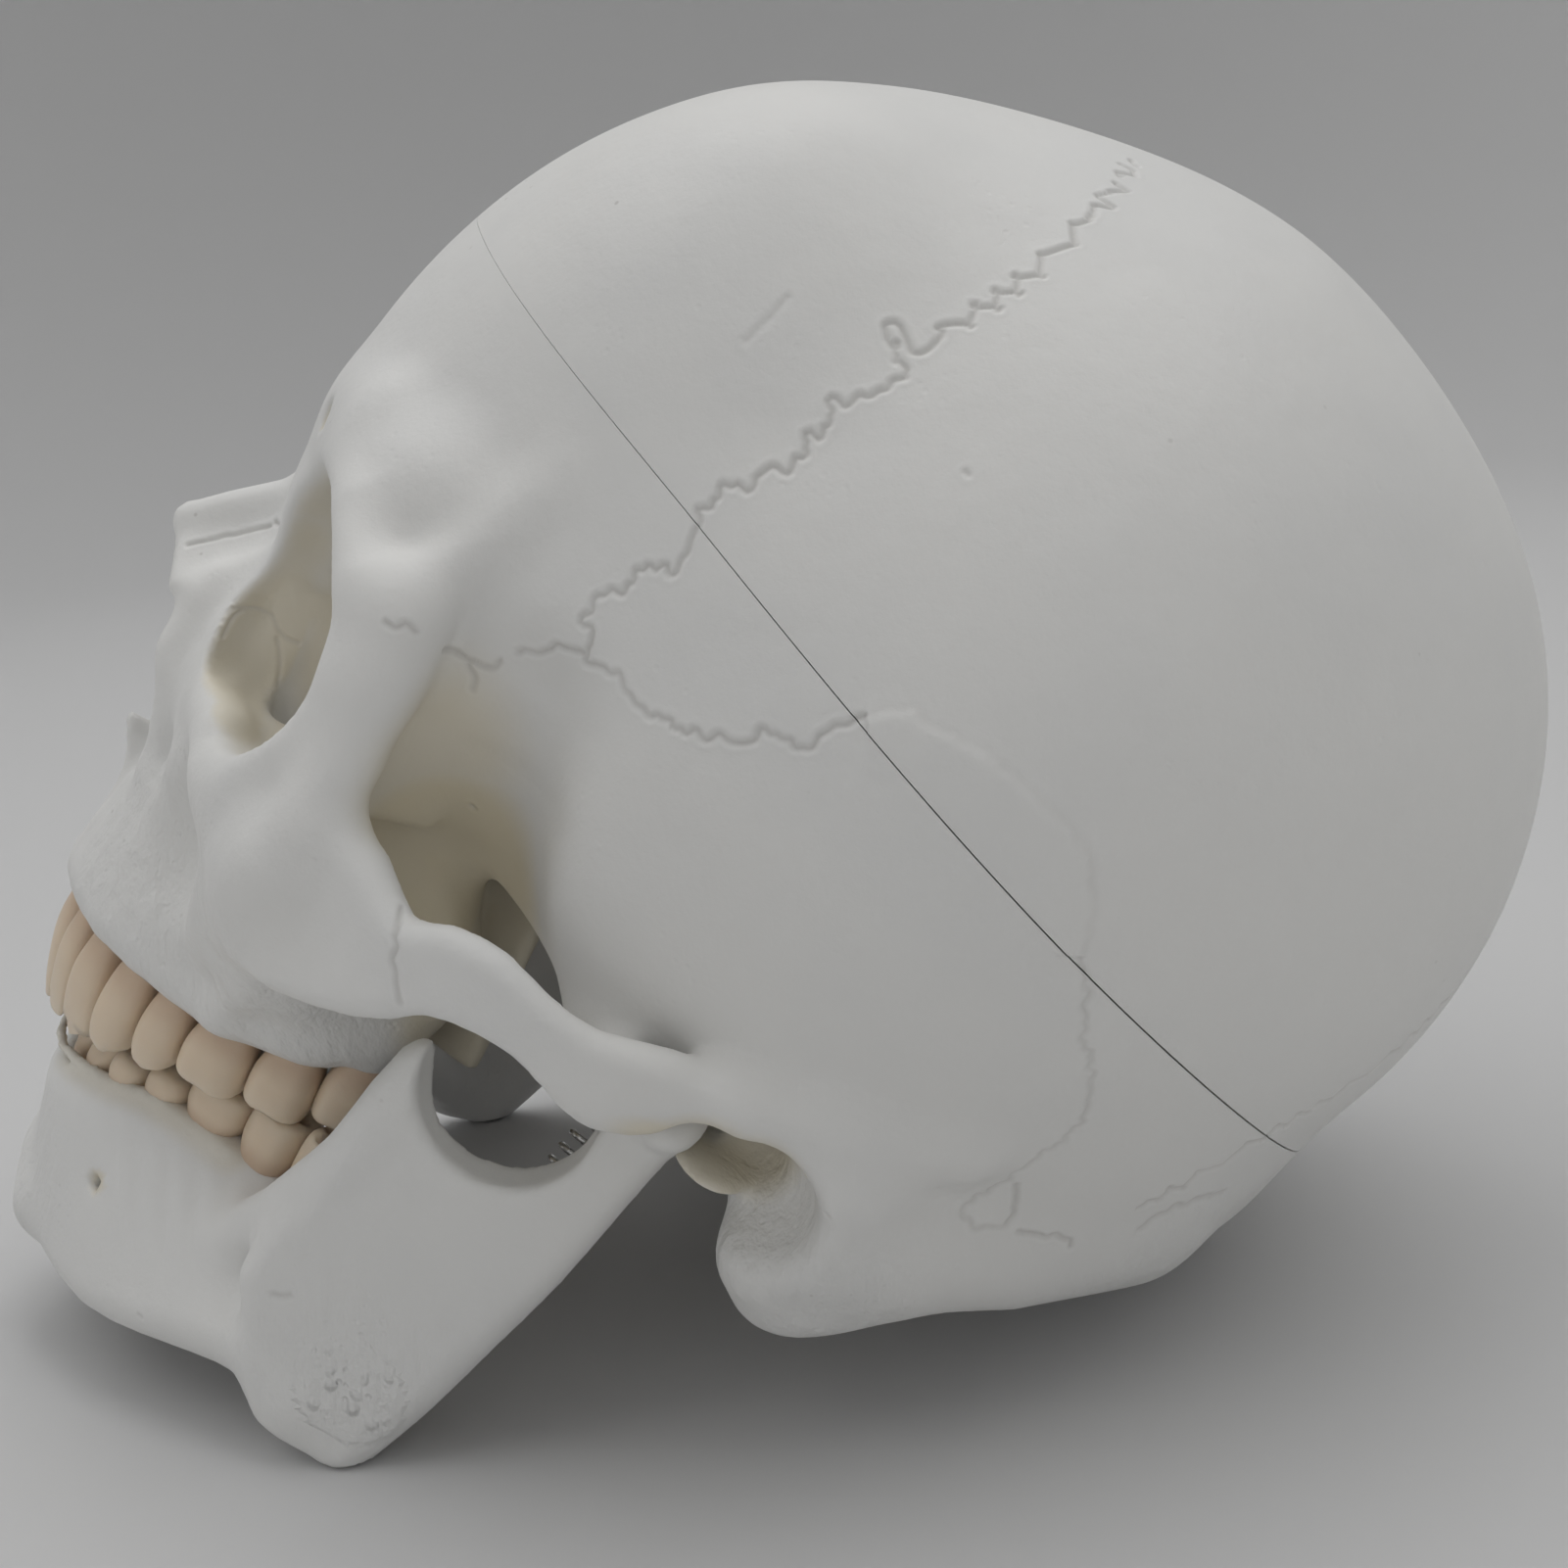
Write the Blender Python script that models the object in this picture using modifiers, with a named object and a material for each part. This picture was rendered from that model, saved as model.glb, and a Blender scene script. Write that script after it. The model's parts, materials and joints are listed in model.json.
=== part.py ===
"""Life-size anatomical skull model: skull base, face, lift-off skull cap, sprung lower jaw, 32 teeth.

Every bony form is written in the skull's own anatomical frame: the origin midway between the
ears, +X to the skull's left, -Y towards the face, +Z up, with the eye-ear plane level. An empty
then tips that frame back, until the model rests on its jaw corners and the back of its head.
"""

import math

import bmesh
import bpy
import numpy as np
from mathutils import Matrix, Vector

# Driving sizes in metres. The shares in the tables below are parts of these three spans.
BREADTH_SPAN = 0.100  # across the cheek bones under the eyes, the unit of side shares
DEPTH_SPAN = 0.100  # ears to the ridge of the nose, the unit of depth shares
HEIGHT_SPAN = 0.100  # ears to the crown less the bone's slope there, the unit of rise shares

VAULT_WALL = 0.0050  # bone thickness of the braincase
CUT_GAP = 0.0003  # between the skull cap and the base
FIT_GAP = 0.0003  # round anything that seats in the bone, and between teeth
JAW_GAP = 0.0006  # running gap of the condyle in its socket
CAP_LIFT = 0.060  # how far the skull cap lifts off
REST_FLAT = 0.0006  # depth of the flats that the model rests on

PIN_DIAMETER = 0.0020
PIN_LENGTH = 0.0065
PIN_SUNK = 0.0035  # length of a pin inside the base
PIN_CHAMFER = 0.0003

WIRE_DIAMETER = 0.0008
COIL_DIAMETER = 0.0052  # outside diameter of a jaw spring
COIL_TURNS = 10
HOOK_RADIUS = 0.0015  # of a spring's end loops, to the middle of the wire
EYE_WIRE = 0.0010
EYE_DIAMETER = 0.0046  # outside diameter of a spring eye's ring
EYE_SHANK = 0.0035  # screwed into the bone
EYE_TURN_DEGREES = (30.0, 300.0)  # stretch of the ring that the wire follows, from its shank
HOOK_START_DEGREES = 70.0  # open part of a spring's end loops
OVERRUN = 0.200  # how far a cutting block reaches past the bone
WELD_GAP = 0.000001  # points of a wire's caps nearer than this are one

BONE_CELL = 0.0017  # grid on which the bone forms are fused
SKULL_FACES_SHARE = 0.035  # faces kept of the fused skull
JAW_FACES_SHARE = 0.110  # faces kept of the fused jaw

# Braincase: blended ellipsoids as centre, radii and width of the blend
VAULT_shares = (
    ((0.00, 0.016, 0.417), (0.725, 0.586, 0.743), 0.00),
    ((0.00, -0.364, 0.319), (0.520, 0.561, 0.740), 0.25),
    ((0.00, 0.317, 0.442), (0.540, 0.451, 0.559), 0.20),
    ((0.00, 0.262, 0.044), (0.500, 0.410, 0.234), 0.15),
    ((0.30, -0.19, 0.124), (0.245, 0.300, 0.220), 0.12),
    ((0.24, -0.457, 0.661), (0.220, 0.238, 0.305), 0.15),
)
VAULT_CENTRE_share = (0.0, 0.05, 0.40)
# Planes under the braincase, as the normal's depth and rise, the offset and the width of the blend
VAULT_FLOOR_shares = ((-0.33, -0.944, 0.160, 0.12), (0.0, -1.0, 0.230, 0.08))
# Hollow of the braincase: floor of the front fossa, then the middle and rear fossae
FRONT_FOSSA_share = 0.375
FOSSA_shares = (
    ((0.32, -0.21, 0.25), (0.22, 0.23, 0.20)),
    ((0.00, 0.32, 0.20), (0.45, 0.35, 0.37)),
)
CUT_PLANE_shares = (0.380, -0.343)  # rise over the origin, and rise gained per depth
FACE_PLANE_share = -0.380  # depth at which the bones of the face meet the skull base

# Rows of balls as side, depth, rise and radius. Neighbours in a row are joined by their hull.
FACE_CHAIN_shares = (
    ((0.06, -0.835, 0.38, 0.045), (0.18, -0.830, 0.40, 0.045), (0.30, -0.790, 0.412, 0.045)),
    ((0.13, -0.800, 0.31, 0.035), (0.22, -0.815, 0.35, 0.035), (0.33, -0.795, 0.36, 0.038),
     (0.42, -0.750, 0.335, 0.042), (0.485, -0.700, 0.28, 0.045), (0.505, -0.655, 0.21, 0.045)),
    ((0.09, -0.830, 0.26, 0.035), (0.12, -0.860, 0.12, 0.038), (0.15, -0.860, 0.00, 0.050),
     (0.18, -0.820, -0.12, 0.065)),
    ((0.14, -0.860, 0.06, 0.032), (0.22, -0.825, -0.02, 0.040), (0.32, -0.780, -0.045, 0.043),
     (0.41, -0.730, -0.015, 0.046), (0.465, -0.690, 0.07, 0.046), (0.495, -0.665, 0.18, 0.044)),
    ((0.510, -0.645, 0.27, 0.044), (0.515, -0.630, 0.20, 0.047), (0.515, -0.625, 0.10, 0.054),
     (0.505, -0.635, -0.04, 0.060)),
    ((0.00, -0.850, 0.28, 0.042), (0.00, -0.910, 0.22, 0.036), (0.00, -0.980, 0.165, 0.032),
     (0.00, -1.025, 0.128, 0.026)),
    ((0.085, -0.93, 0.09, 0.022), (0.105, -0.950, -0.01, 0.025), (0.120, -0.915, -0.09, 0.030),
     (0.115, -0.895, -0.16, 0.034)),
    ((0.50, -0.660, 0.28, 0.038), (0.475, -0.615, 0.37, 0.030), (0.455, -0.560, 0.48, 0.022)),
)
BASE_CHAIN_shares = (
    ((0.00, -0.36, 0.00, 0.130), (0.00, -0.08, -0.14, 0.090)),
    ((0.46, 0.08, -0.08, 0.105), (0.12, -0.14, -0.08, 0.080)),
    ((0.545, 0.07, -0.04, 0.110), (0.520, 0.09, -0.13, 0.105), (0.500, 0.115, -0.19, 0.090)),
    ((0.50, 0.20, -0.11, 0.090), (0.44, 0.32, -0.08, 0.085), (0.36, 0.46, -0.01, 0.080)),
    ((0.620, -0.08, 0.000, 0.036), (0.615, 0.04, 0.030, 0.034), (0.590, 0.18, 0.060, 0.030)),
    ((0.62, -0.22, -0.050, 0.042), (0.42, -0.25, -0.050, 0.045)),
)
# Sheets of bone between two such rows
SHEET_shares = (
    (  # cheek arch
        ((0.520, -0.62, 0.020, 0.040), (0.555, -0.560, 0.010, 0.036), (0.600, -0.490, -0.02, 0.029),
         (0.630, -0.435, 0.010, 0.026), (0.650, -0.38, 0.018, 0.025), (0.660, -0.32, 0.002, 0.024),
         (0.658, -0.25, -0.01, 0.026), (0.645, -0.17, 0.00, 0.030), (0.625, -0.08, -0.005, 0.032)),
        ((0.435, -0.65, -0.170, 0.038), (0.490, -0.600, -0.160, 0.036), (0.575, -0.505, -0.110, 0.032),
         (0.623, -0.430, -0.055, 0.026), (0.645, -0.37, -0.038, 0.025), (0.655, -0.31, -0.039, 0.025),
         (0.650, -0.245, -0.060, 0.030), (0.630, -0.18, -0.060, 0.034), (0.615, -0.09, -0.02, 0.032)),
    ),
    (  # tooth ridge of the upper jaw
        ((0.000, -0.890, -0.20, 0.065), (0.083, -0.870, -0.20, 0.065), (0.152, -0.825, -0.20, 0.065),
         (0.198, -0.760, -0.20, 0.065), (0.230, -0.675, -0.20, 0.065), (0.250, -0.595, -0.20, 0.065),
         (0.260, -0.510, -0.20, 0.065), (0.260, -0.445, -0.18, 0.065)),
        ((0.000, -0.940, -0.370, 0.048), (0.090, -0.908, -0.360, 0.050), (0.165, -0.850, -0.355, 0.050),
         (0.215, -0.780, -0.350, 0.050), (0.250, -0.695, -0.350, 0.050), (0.270, -0.615, -0.340, 0.050),
         (0.280, -0.530, -0.320, 0.050), (0.275, -0.460, -0.270, 0.050)),
    ),
    (  # nose bones
        ((0.00, -0.860, 0.28, 0.030), (0.00, -0.915, 0.21, 0.027), (0.00, -0.98, 0.155, 0.026),
         (0.00, -1.025, 0.122, 0.023)),
        ((0.08, -0.830, 0.26, 0.030), (0.09, -0.860, 0.16, 0.026), (0.095, -0.91, 0.08, 0.023),
         (0.080, -0.985, 0.060, 0.020)),
    ),
    (  # wall beside the nose opening
        ((0.09, -0.860, 0.16, 0.026), (0.085, -0.95, 0.07, 0.022), (0.105, -0.94, -0.02, 0.026)),
        ((0.11, -0.850, 0.12, 0.030), (0.15, -0.850, 0.02, 0.036), (0.15, -0.865, -0.06, 0.040)),
    ),
    (  # outer and inner plates behind the upper jaw
        ((0.12, -0.46, -0.06, 0.040), (0.20, -0.36, -0.08, 0.018)),
        ((0.13, -0.46, -0.30, 0.030), (0.22, -0.35, -0.29, 0.018)),
    ),
    (
        ((0.11, -0.46, -0.06, 0.040), (0.11, -0.37, -0.08, 0.018)),
        ((0.12, -0.46, -0.32, 0.030), (0.12, -0.36, -0.31, 0.018)),
    ),
)
# Solid masses of bone as centre and radii
LUMP_shares = (
    ((0.00, -0.820, 0.390), (0.13, 0.07, 0.09)),
    ((0.24, -0.660, 0.400), (0.21, 0.14, 0.08)),
    ((0.28, -0.560, 0.220), (0.15, 0.20, 0.26)),
    ((0.00, -0.620, 0.140), (0.15, 0.24, 0.24)),
    ((0.00, -0.800, 0.300), (0.10, 0.07, 0.09)),
    ((0.25, -0.620, -0.14), (0.18, 0.20, 0.20)),
    ((0.42, -0.670, -0.08), (0.10, 0.07, 0.11)),
    ((0.00, -0.660, -0.27), (0.24, 0.24, 0.035)),
    ((0.00, -0.790, -0.26), (0.16, 0.11, 0.08)),
    ((0.15, 0.080, -0.230), (0.06, 0.11, 0.06)),
    ((0.00, 0.640, -0.060), (0.07, 0.05, 0.06)),
)
# Hollows of the face and base: rows of balls, and ellipsoids as centre, radii and turn about +Z
HOLLOW_CHAIN_shares = (
    ((0.295, -0.74, 0.17, 0.160), (0.24, -0.60, 0.17, 0.130), (0.14, -0.42, 0.16, 0.050)),
    ((0.80, -0.02, -0.05, 0.048), (0.46, -0.01, -0.05, 0.040)),
    ((0.06, -0.52, -0.14, 0.060), (0.06, -0.34, -0.14, 0.070)),
    ((0.06, -0.52, -0.20, 0.055), (0.06, -0.34, -0.20, 0.070)),
    ((0.00, -1.00, 0.02, 0.062), (0.00, -1.00, -0.08, 0.092), (0.00, -0.98, -0.12, 0.096)),
    ((0.00, -0.90, 0.06, 0.055), (0.00, -0.60, 0.04, 0.055)),
    ((0.535, -0.485, 0.25, 0.045), (0.515, -0.475, 0.13, 0.068), (0.48, -0.462, -0.01, 0.082),
     (0.45, -0.450, -0.20, 0.085)),
)
HOLLOW_LUMP_shares = (
    ((0.31, -0.75, 0.165), (0.18, 0.20, 0.17), -20.0),
    ((0.00, 0.16, -0.240), (0.15, 0.18, 0.22), 0.0),
    ((0.00, -0.74, -0.10), (0.112, 0.34, 0.125), 0.0),
)
NOSE_SPINE_shares = ((0.0, -0.86, -0.22, 0.040), (0.0, -0.94, -0.195, 0.028), (0.0, -0.975, -0.182, 0.020))
SEPTUM_shares = (
    ((0.0, -0.84, 0.08, 0.014), (0.0, -0.40, 0.02, 0.014)),
    ((0.0, -0.88, -0.24, 0.014), (0.0, -0.40, -0.24, 0.014)),
)

# Lower jaw: the body's tooth ridge over its lower border, then the ramus, front edge over rear edge
JAW_BODY_shares = (
    ((0.000, -0.845, -0.665, 0.040), (0.080, -0.830, -0.660, 0.040), (0.140, -0.790, -0.640, 0.042),
     (0.180, -0.735, -0.615, 0.046), (0.210, -0.660, -0.590, 0.050), (0.240, -0.580, -0.580, 0.052),
     (0.275, -0.500, -0.580, 0.052), (0.318, -0.440, -0.590, 0.056)),
    ((0.000, -0.800, -0.840, 0.060), (0.080, -0.775, -0.835, 0.060), (0.160, -0.715, -0.820, 0.058),
     (0.250, -0.640, -0.795, 0.056), (0.320, -0.565, -0.750, 0.052), (0.380, -0.490, -0.700, 0.050),
     (0.430, -0.415, -0.668, 0.046), (0.470, -0.340, -0.680, 0.042)),
)
RAMUS_shares = (
    ((0.483, -0.400, -0.190, 0.022), (0.480, -0.415, -0.260, 0.025), (0.475, -0.415, -0.350, 0.028),
     (0.465, -0.425, -0.450, 0.030), (0.455, -0.450, -0.560, 0.033), (0.470, -0.360, -0.700, 0.032)),
    ((0.500, -0.125, -0.130, 0.036), (0.503, -0.145, -0.220, 0.038), (0.503, -0.168, -0.350, 0.038),
     (0.500, -0.198, -0.470, 0.038), (0.498, -0.228, -0.590, 0.037), (0.495, -0.262, -0.700, 0.034)),
)
JAW_CHAIN_shares = (
    ((0.00, -0.825, -0.83, 0.055), (0.10, -0.790, -0.850, 0.050)),
    ((0.475, -0.40, -0.21, 0.026), (0.455, -0.43, -0.36, 0.032), (0.410, -0.470, -0.50, 0.038),
     (0.340, -0.500, -0.600, 0.044)),
)
CONDYLE_shares = ((0.50, -0.125, -0.090), (0.100, 0.050, 0.050))
NOTCH_shares = ((0.50, -0.275, -0.140), (0.120, 0.078, 0.128))

REST_PITCH_DEGREES = (15.0, 45.0)  # between these lies the tip at which jaw and nape both touch

# Teeth, from the midline back: name, share of the arch, crown height, crown depth and form
TOOTH_NAMES = ("central_incisor", "lateral_incisor", "canine", "first_premolar", "second_premolar",
               "first_molar", "second_molar", "third_molar")
UPPER_WIDTH_shares = (0.135, 0.105, 0.120, 0.112, 0.108, 0.152, 0.144, 0.124)
LOWER_WIDTH_shares = (0.090, 0.100, 0.112, 0.118, 0.122, 0.172, 0.160, 0.126)
UPPER_CROWN_shares = (0.165, 0.155, 0.150, 0.125, 0.105, 0.080, 0.075, 0.070)
LOWER_CROWN_shares = (0.085, 0.085, 0.075, 0.050, 0.050, 0.057, 0.064, 0.080)
CROWN_DEPTH_shares = (0.055, 0.052, 0.060, 0.072, 0.078, 0.090, 0.088, 0.080)
ROOT_LENGTH_share = 0.095
SOCKET_TOP_share = 0.20  # of the crown's height, up to which the sockets follow the teeth
UPPER_LEAN_share = 0.29  # depth that the crowns gain for each rise
LOWER_LEAN_share = 0.0
UPPER_ARCH_shares = (
    (0.000, -0.942, -0.412), (0.090, -0.908, -0.408), (0.160, -0.848, -0.404), (0.208, -0.778, -0.400),
    (0.242, -0.690, -0.398), (0.262, -0.610, -0.390), (0.272, -0.530, -0.372), (0.272, -0.430, -0.335),
)
LOWER_ARCH_shares = (
    (0.000, -0.845, -0.625), (0.080, -0.825, -0.620), (0.137, -0.780, -0.598), (0.177, -0.715, -0.570),
    (0.208, -0.635, -0.540), (0.238, -0.560, -0.530), (0.272, -0.490, -0.530), (0.314, -0.420, -0.530),
)
# Rings of a tooth from the biting edge to the root's tip: place along it, breadth and depth
CUTTING_TOOTH_shares = ((1.00, 0.76, 0.25), (0.80, 0.94, 0.50), (0.45, 1.00, 0.85), (0.08, 0.76, 0.88),
                        (-0.10, 0.66, 0.74), (-1.00, 0.24, 0.26))
GRINDING_TOOTH_shares = ((1.00, 0.66, 0.62), (0.86, 0.93, 0.92), (0.45, 1.00, 1.00), (0.08, 0.80, 0.84),
                         (-0.10, 0.72, 0.74), (-1.00, 0.26, 0.28))
TOOTH_SIDES = 8
TOOTH_SQUARENESS_share = 0.80  # power of a ring's outline, 1 for an oval and 0 for an oblong

# Eyes of the springs, each as a place off the bone and the way from there to its seat
SKULL_EYE_shares = ((0.370, -0.160, -0.400), (0.0, 0.0, 1.0))
JAW_EYE_shares = ((0.300, -0.215, -0.420), (1.0, 0.0, 0.0))
PIN_shares = {"front": 0.0, "left": 0.36, "right": -0.36}  # turns round the cut rim

BONE_COLOUR = (0.80, 0.79, 0.75, 1.0)
TOOTH_COLOUR = (0.74, 0.60, 0.46, 1.0)
STEEL_COLOUR = (0.58, 0.58, 0.57, 1.0)


def clear_scene():
    for old in list(bpy.data.objects):
        bpy.data.objects.remove(old, do_unlink=True)


def make_collection(name):
    collection = bpy.data.collections.new(name)
    bpy.context.scene.collection.children.link(collection)
    return collection


def make_material(name, colour, roughness, metallic=0.0):
    material = bpy.data.materials.new(name)
    material.use_nodes = True
    shader = material.node_tree.nodes["Principled BSDF"]
    shader.inputs["Base Color"].default_value = colour
    shader.inputs["Roughness"].default_value = roughness
    shader.inputs["Metallic"].default_value = metallic
    return material


def place(share):
    """Point in metres of a place given in shares of the three spans."""
    return Vector((share[0] * BREADTH_SPAN, share[1] * DEPTH_SPAN, share[2] * HEIGHT_SPAN))


def mirrored(row):
    return tuple((-ball[0],) + tuple(ball[1:]) for ball in row)


def ball_directions():
    """Unit directions spread over a ball, from an icosphere."""
    sphere = bmesh.new()
    bmesh.ops.create_icosphere(sphere, subdivisions=2, radius=1)
    directions = [vert.co.copy() for vert in sphere.verts]
    sphere.free()
    return directions


BALL_DIRECTIONS = ball_directions()


def add_hull(mesh, balls):
    """Adds the convex hull of the balls, each a side, depth, rise and radius."""
    points = []
    for side, depth, rise, radius in balls:
        for way in BALL_DIRECTIONS:
            spot = (side + way.x * radius, depth + way.y * radius, rise + way.z * radius)
            points.append(mesh.verts.new(place(spot)))
    made = bmesh.ops.convex_hull(mesh, input=points)
    spare = set(made["geom_interior"]) | set(made["geom_unused"])
    bmesh.ops.delete(mesh, geom=[item for item in spare if isinstance(item, bmesh.types.BMVert)], context="VERTS")


def add_chain(mesh, row):
    for first, second in zip(row[:-1], row[1:]):
        add_hull(mesh, (first, second))


def add_sheet(mesh, top, bottom):
    for index in range(len(top) - 1):
        add_hull(mesh, top[index : index + 2] + bottom[index : index + 2])


def add_lump(mesh, centre, radii, turn=0.0, grow=0.0, sides=32):
    """Adds an ellipsoid, turned by degrees about +Z and grown all round by a length."""
    made = bmesh.ops.create_uvsphere(mesh, u_segments=sides, v_segments=sides // 2, radius=1)
    scale = Vector((radii[0] * BREADTH_SPAN + grow, radii[1] * DEPTH_SPAN + grow, radii[2] * HEIGHT_SPAN + grow))
    matrix = Matrix.LocRotScale(place(centre), Matrix.Rotation(math.radians(turn), 3, "Z"), scale)
    bmesh.ops.transform(mesh, matrix=matrix, verts=made["verts"])


def both_sides(add, mesh, row, *more):
    """Adds a form, and its mirror image where it lies off the midline."""
    add(mesh, row, *more)
    if any(ball[0] != 0 for ball in row):
        add(mesh, mirrored(row), *(mirrored(part) for part in more))


def blended(first, second, width):
    """Smaller of two distances, rounded over where they are nearly alike."""
    near = np.maximum(width - np.abs(first - second), 0)
    return np.minimum(first, second) - near * near / (4 * width) if width else np.minimum(first, second)


def braincase_distance(spots):
    """Distance in shares from the braincase's outer surface, negative inside it."""
    distance = None
    for centre, radii, blend in VAULT_shares:
        for sign in (1, -1) if centre[0] else (1,):
            offset = spots - np.array((centre[0] * sign, centre[1], centre[2]))
            near = np.linalg.norm(offset / radii, axis=-1)
            far = np.linalg.norm(offset / np.square(radii), axis=-1)
            ellipsoid = near * (near - 1) / far
            distance = ellipsoid if distance is None else blended(distance, ellipsoid, blend)
    for depth, rise, offset, blend in VAULT_FLOOR_shares:
        plane = spots[..., 1] * depth + spots[..., 2] * rise - offset
        distance = -blended(-distance, -plane, blend)
    return distance


def braincase(wall):
    """Mesh of the braincase's surface, drawn in by the wall: a sphere whose points are cast onto it."""
    sphere = bmesh.new()
    bmesh.ops.create_uvsphere(sphere, u_segments=72, v_segments=44, radius=1)
    ways = np.array([vert.co for vert in sphere.verts])
    centre = np.array(VAULT_CENTRE_share)
    reach = np.zeros(len(ways))
    spans = np.array((BREADTH_SPAN, DEPTH_SPAN, HEIGHT_SPAN))
    for _ in range(24):
        reach -= braincase_distance(centre + ways * reach[:, None])
    for vert, way, length in zip(sphere.verts, ways, reach):
        spot = Vector((centre + way * length) * spans)
        inward = place(VAULT_CENTRE_share) - spot
        vert.co = spot + inward.normalized() * wall
    return sphere


def object_of(mesh, name, collection):
    """Object that takes over a bmesh."""
    data = bpy.data.meshes.new(name)
    mesh.to_mesh(data)
    mesh.free()
    made = bpy.data.objects.new(name, data)
    collection.objects.link(made)
    return made


def baked(source, name, collection, keep=False):
    """Mesh object of another object's evaluated shape, in the same place."""
    graph = bpy.context.evaluated_depsgraph_get()
    data = bpy.data.meshes.new_from_object(source.evaluated_get(graph))
    made = bpy.data.objects.new(name, data)
    made.matrix_world = source.matrix_world.copy()
    collection.objects.link(made)
    if not keep:
        bpy.data.objects.remove(source, do_unlink=True)
    return made


def add_remesh(target):
    remesh = target.modifiers.new("fuse", "REMESH")
    remesh.mode = "VOXEL"
    remesh.voxel_size = BONE_CELL


def add_smooth(target, rounds):
    smooth = target.modifiers.new("smooth", "SMOOTH")
    smooth.iterations = rounds


def add_decimate(target, share):
    decimate = target.modifiers.new("thin_out", "DECIMATE")
    decimate.ratio = share


def add_boolean(target, other, operation="DIFFERENCE"):
    boolean = target.modifiers.new(other.name, "BOOLEAN")
    boolean.object = other
    boolean.operation = operation


def as_cutter(target):
    target.hide_render = True
    target.display_type = "WIRE"
    return target


def fused(mesh, name, collection, rounds):
    """One closed form from the overlapping solids in a bmesh."""
    raw = object_of(mesh, name + "_raw", collection)
    add_remesh(raw)
    add_smooth(raw, rounds)
    return baked(raw, name, collection)


def skull_mass():
    """Outer form of the whole skull, with no hollows."""
    mesh = braincase(0)
    for row in FACE_CHAIN_shares + BASE_CHAIN_shares:
        both_sides(add_chain, mesh, row)
    for top, bottom in SHEET_shares:
        both_sides(add_sheet, mesh, top, bottom)
    for centre, radii in LUMP_shares:
        add_lump(mesh, centre, radii)
        if centre[0]:
            add_lump(mesh, mirrored((centre,))[0], radii)
    return mesh


def face_hollows():
    mesh = bmesh.new()
    for row in HOLLOW_CHAIN_shares:
        both_sides(add_chain, mesh, row)
    for centre, radii, turn in HOLLOW_LUMP_shares:
        add_lump(mesh, centre, radii, turn)
        if centre[0]:
            add_lump(mesh, mirrored((centre,))[0], radii, -turn)
    return mesh


def add_block(mesh, frame):
    """Adds a block that stands on the plane z = 0 of a frame and reaches past the bone."""
    made = bmesh.ops.create_cube(mesh, size=2)
    raised = Matrix.Translation((0, 0, OVERRUN)) @ Matrix.Scale(OVERRUN, 4)
    bmesh.ops.transform(mesh, matrix=frame @ raised, verts=made["verts"])


def fossa_mould():
    """Room for the brain, before it is held inside the braincase's wall."""
    mesh = bmesh.new()
    add_block(mesh, Matrix.Translation(place((0, 0, FRONT_FOSSA_share))))
    for centre, radii in FOSSA_shares:
        add_lump(mesh, centre, radii)
        if centre[0]:
            add_lump(mesh, mirrored((centre,))[0], radii)
    return mesh


def make_skull(helpers):
    """Whole skull in one piece, hollowed."""
    skull = fused(skull_mass(), "skull_form", helpers, 6)
    face = as_cutter(fused(face_hollows(), "face_hollows", helpers, 3))
    mould = as_cutter(fused(fossa_mould(), "fossa_mould", helpers, 3))
    cavity = as_cutter(object_of(braincase(VAULT_WALL), "brain_hollow", helpers))
    add_boolean(cavity, mould, "INTERSECT")
    add_boolean(skull, face)
    add_boolean(skull, cavity)
    carved = baked(skull, "carved_skull", helpers)
    mesh = bmesh.new()
    mesh.from_mesh(carved.data)
    bpy.data.objects.remove(carved, do_unlink=True)
    add_chain(mesh, NOSE_SPINE_shares)
    add_sheet(mesh, *SEPTUM_shares)
    whole = fused(mesh, "skull_whole", helpers, 2)
    add_decimate(whole, SKULL_FACES_SHARE)
    return as_cutter(baked(whole, "skull_whole", helpers))


def make_jaw(helpers):
    mesh = bmesh.new()
    both_sides(add_sheet, mesh, *JAW_BODY_shares)
    both_sides(add_sheet, mesh, *RAMUS_shares)
    for row in JAW_CHAIN_shares:
        both_sides(add_chain, mesh, row)
    body = fused(mesh, "jaw_form", helpers, 5)
    mesh = bmesh.new()
    for centre, radii in (NOTCH_shares, (mirrored(NOTCH_shares[:1])[0], NOTCH_shares[1])):
        add_lump(mesh, centre, radii)
    notch = as_cutter(object_of(mesh, "jaw_notch", helpers))
    add_boolean(body, notch)
    cut = baked(body, "cut_jaw", helpers)
    mesh = bmesh.new()
    mesh.from_mesh(cut.data)
    bpy.data.objects.remove(cut, do_unlink=True)
    for centre, radii in (CONDYLE_shares, (mirrored(CONDYLE_shares[:1])[0], CONDYLE_shares[1])):
        add_lump(mesh, centre, radii)
    jaw = fused(mesh, "jaw_whole", helpers, 2)
    add_decimate(jaw, JAW_FACES_SHARE)
    return as_cutter(baked(jaw, "jaw_whole", helpers))


def cut_placement():
    """Frame on the plane that parts the cap from the base, its +Z the way the cap lifts."""
    rise, slope = CUT_PLANE_shares
    tip = Matrix.Rotation(math.atan2(slope * HEIGHT_SPAN, DEPTH_SPAN), 4, "X")
    return Matrix.Translation(place((0, 0, rise))) @ tip


def cutting_block(name, frame, cutters):
    mesh = bmesh.new()
    add_block(mesh, frame)
    return as_cutter(object_of(mesh, name, cutters))


def piece_of(source, name, collection, material):
    """Visible piece with the shape of a helper."""
    made = bpy.data.objects.new(name, source.data.copy())
    collection.objects.link(made)
    return finished(made, material)


def finished(target, material):
    target.data.materials.clear()
    target.data.materials.append(material)
    for polygon in target.data.polygons:
        polygon.use_smooth = True
    return target


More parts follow.
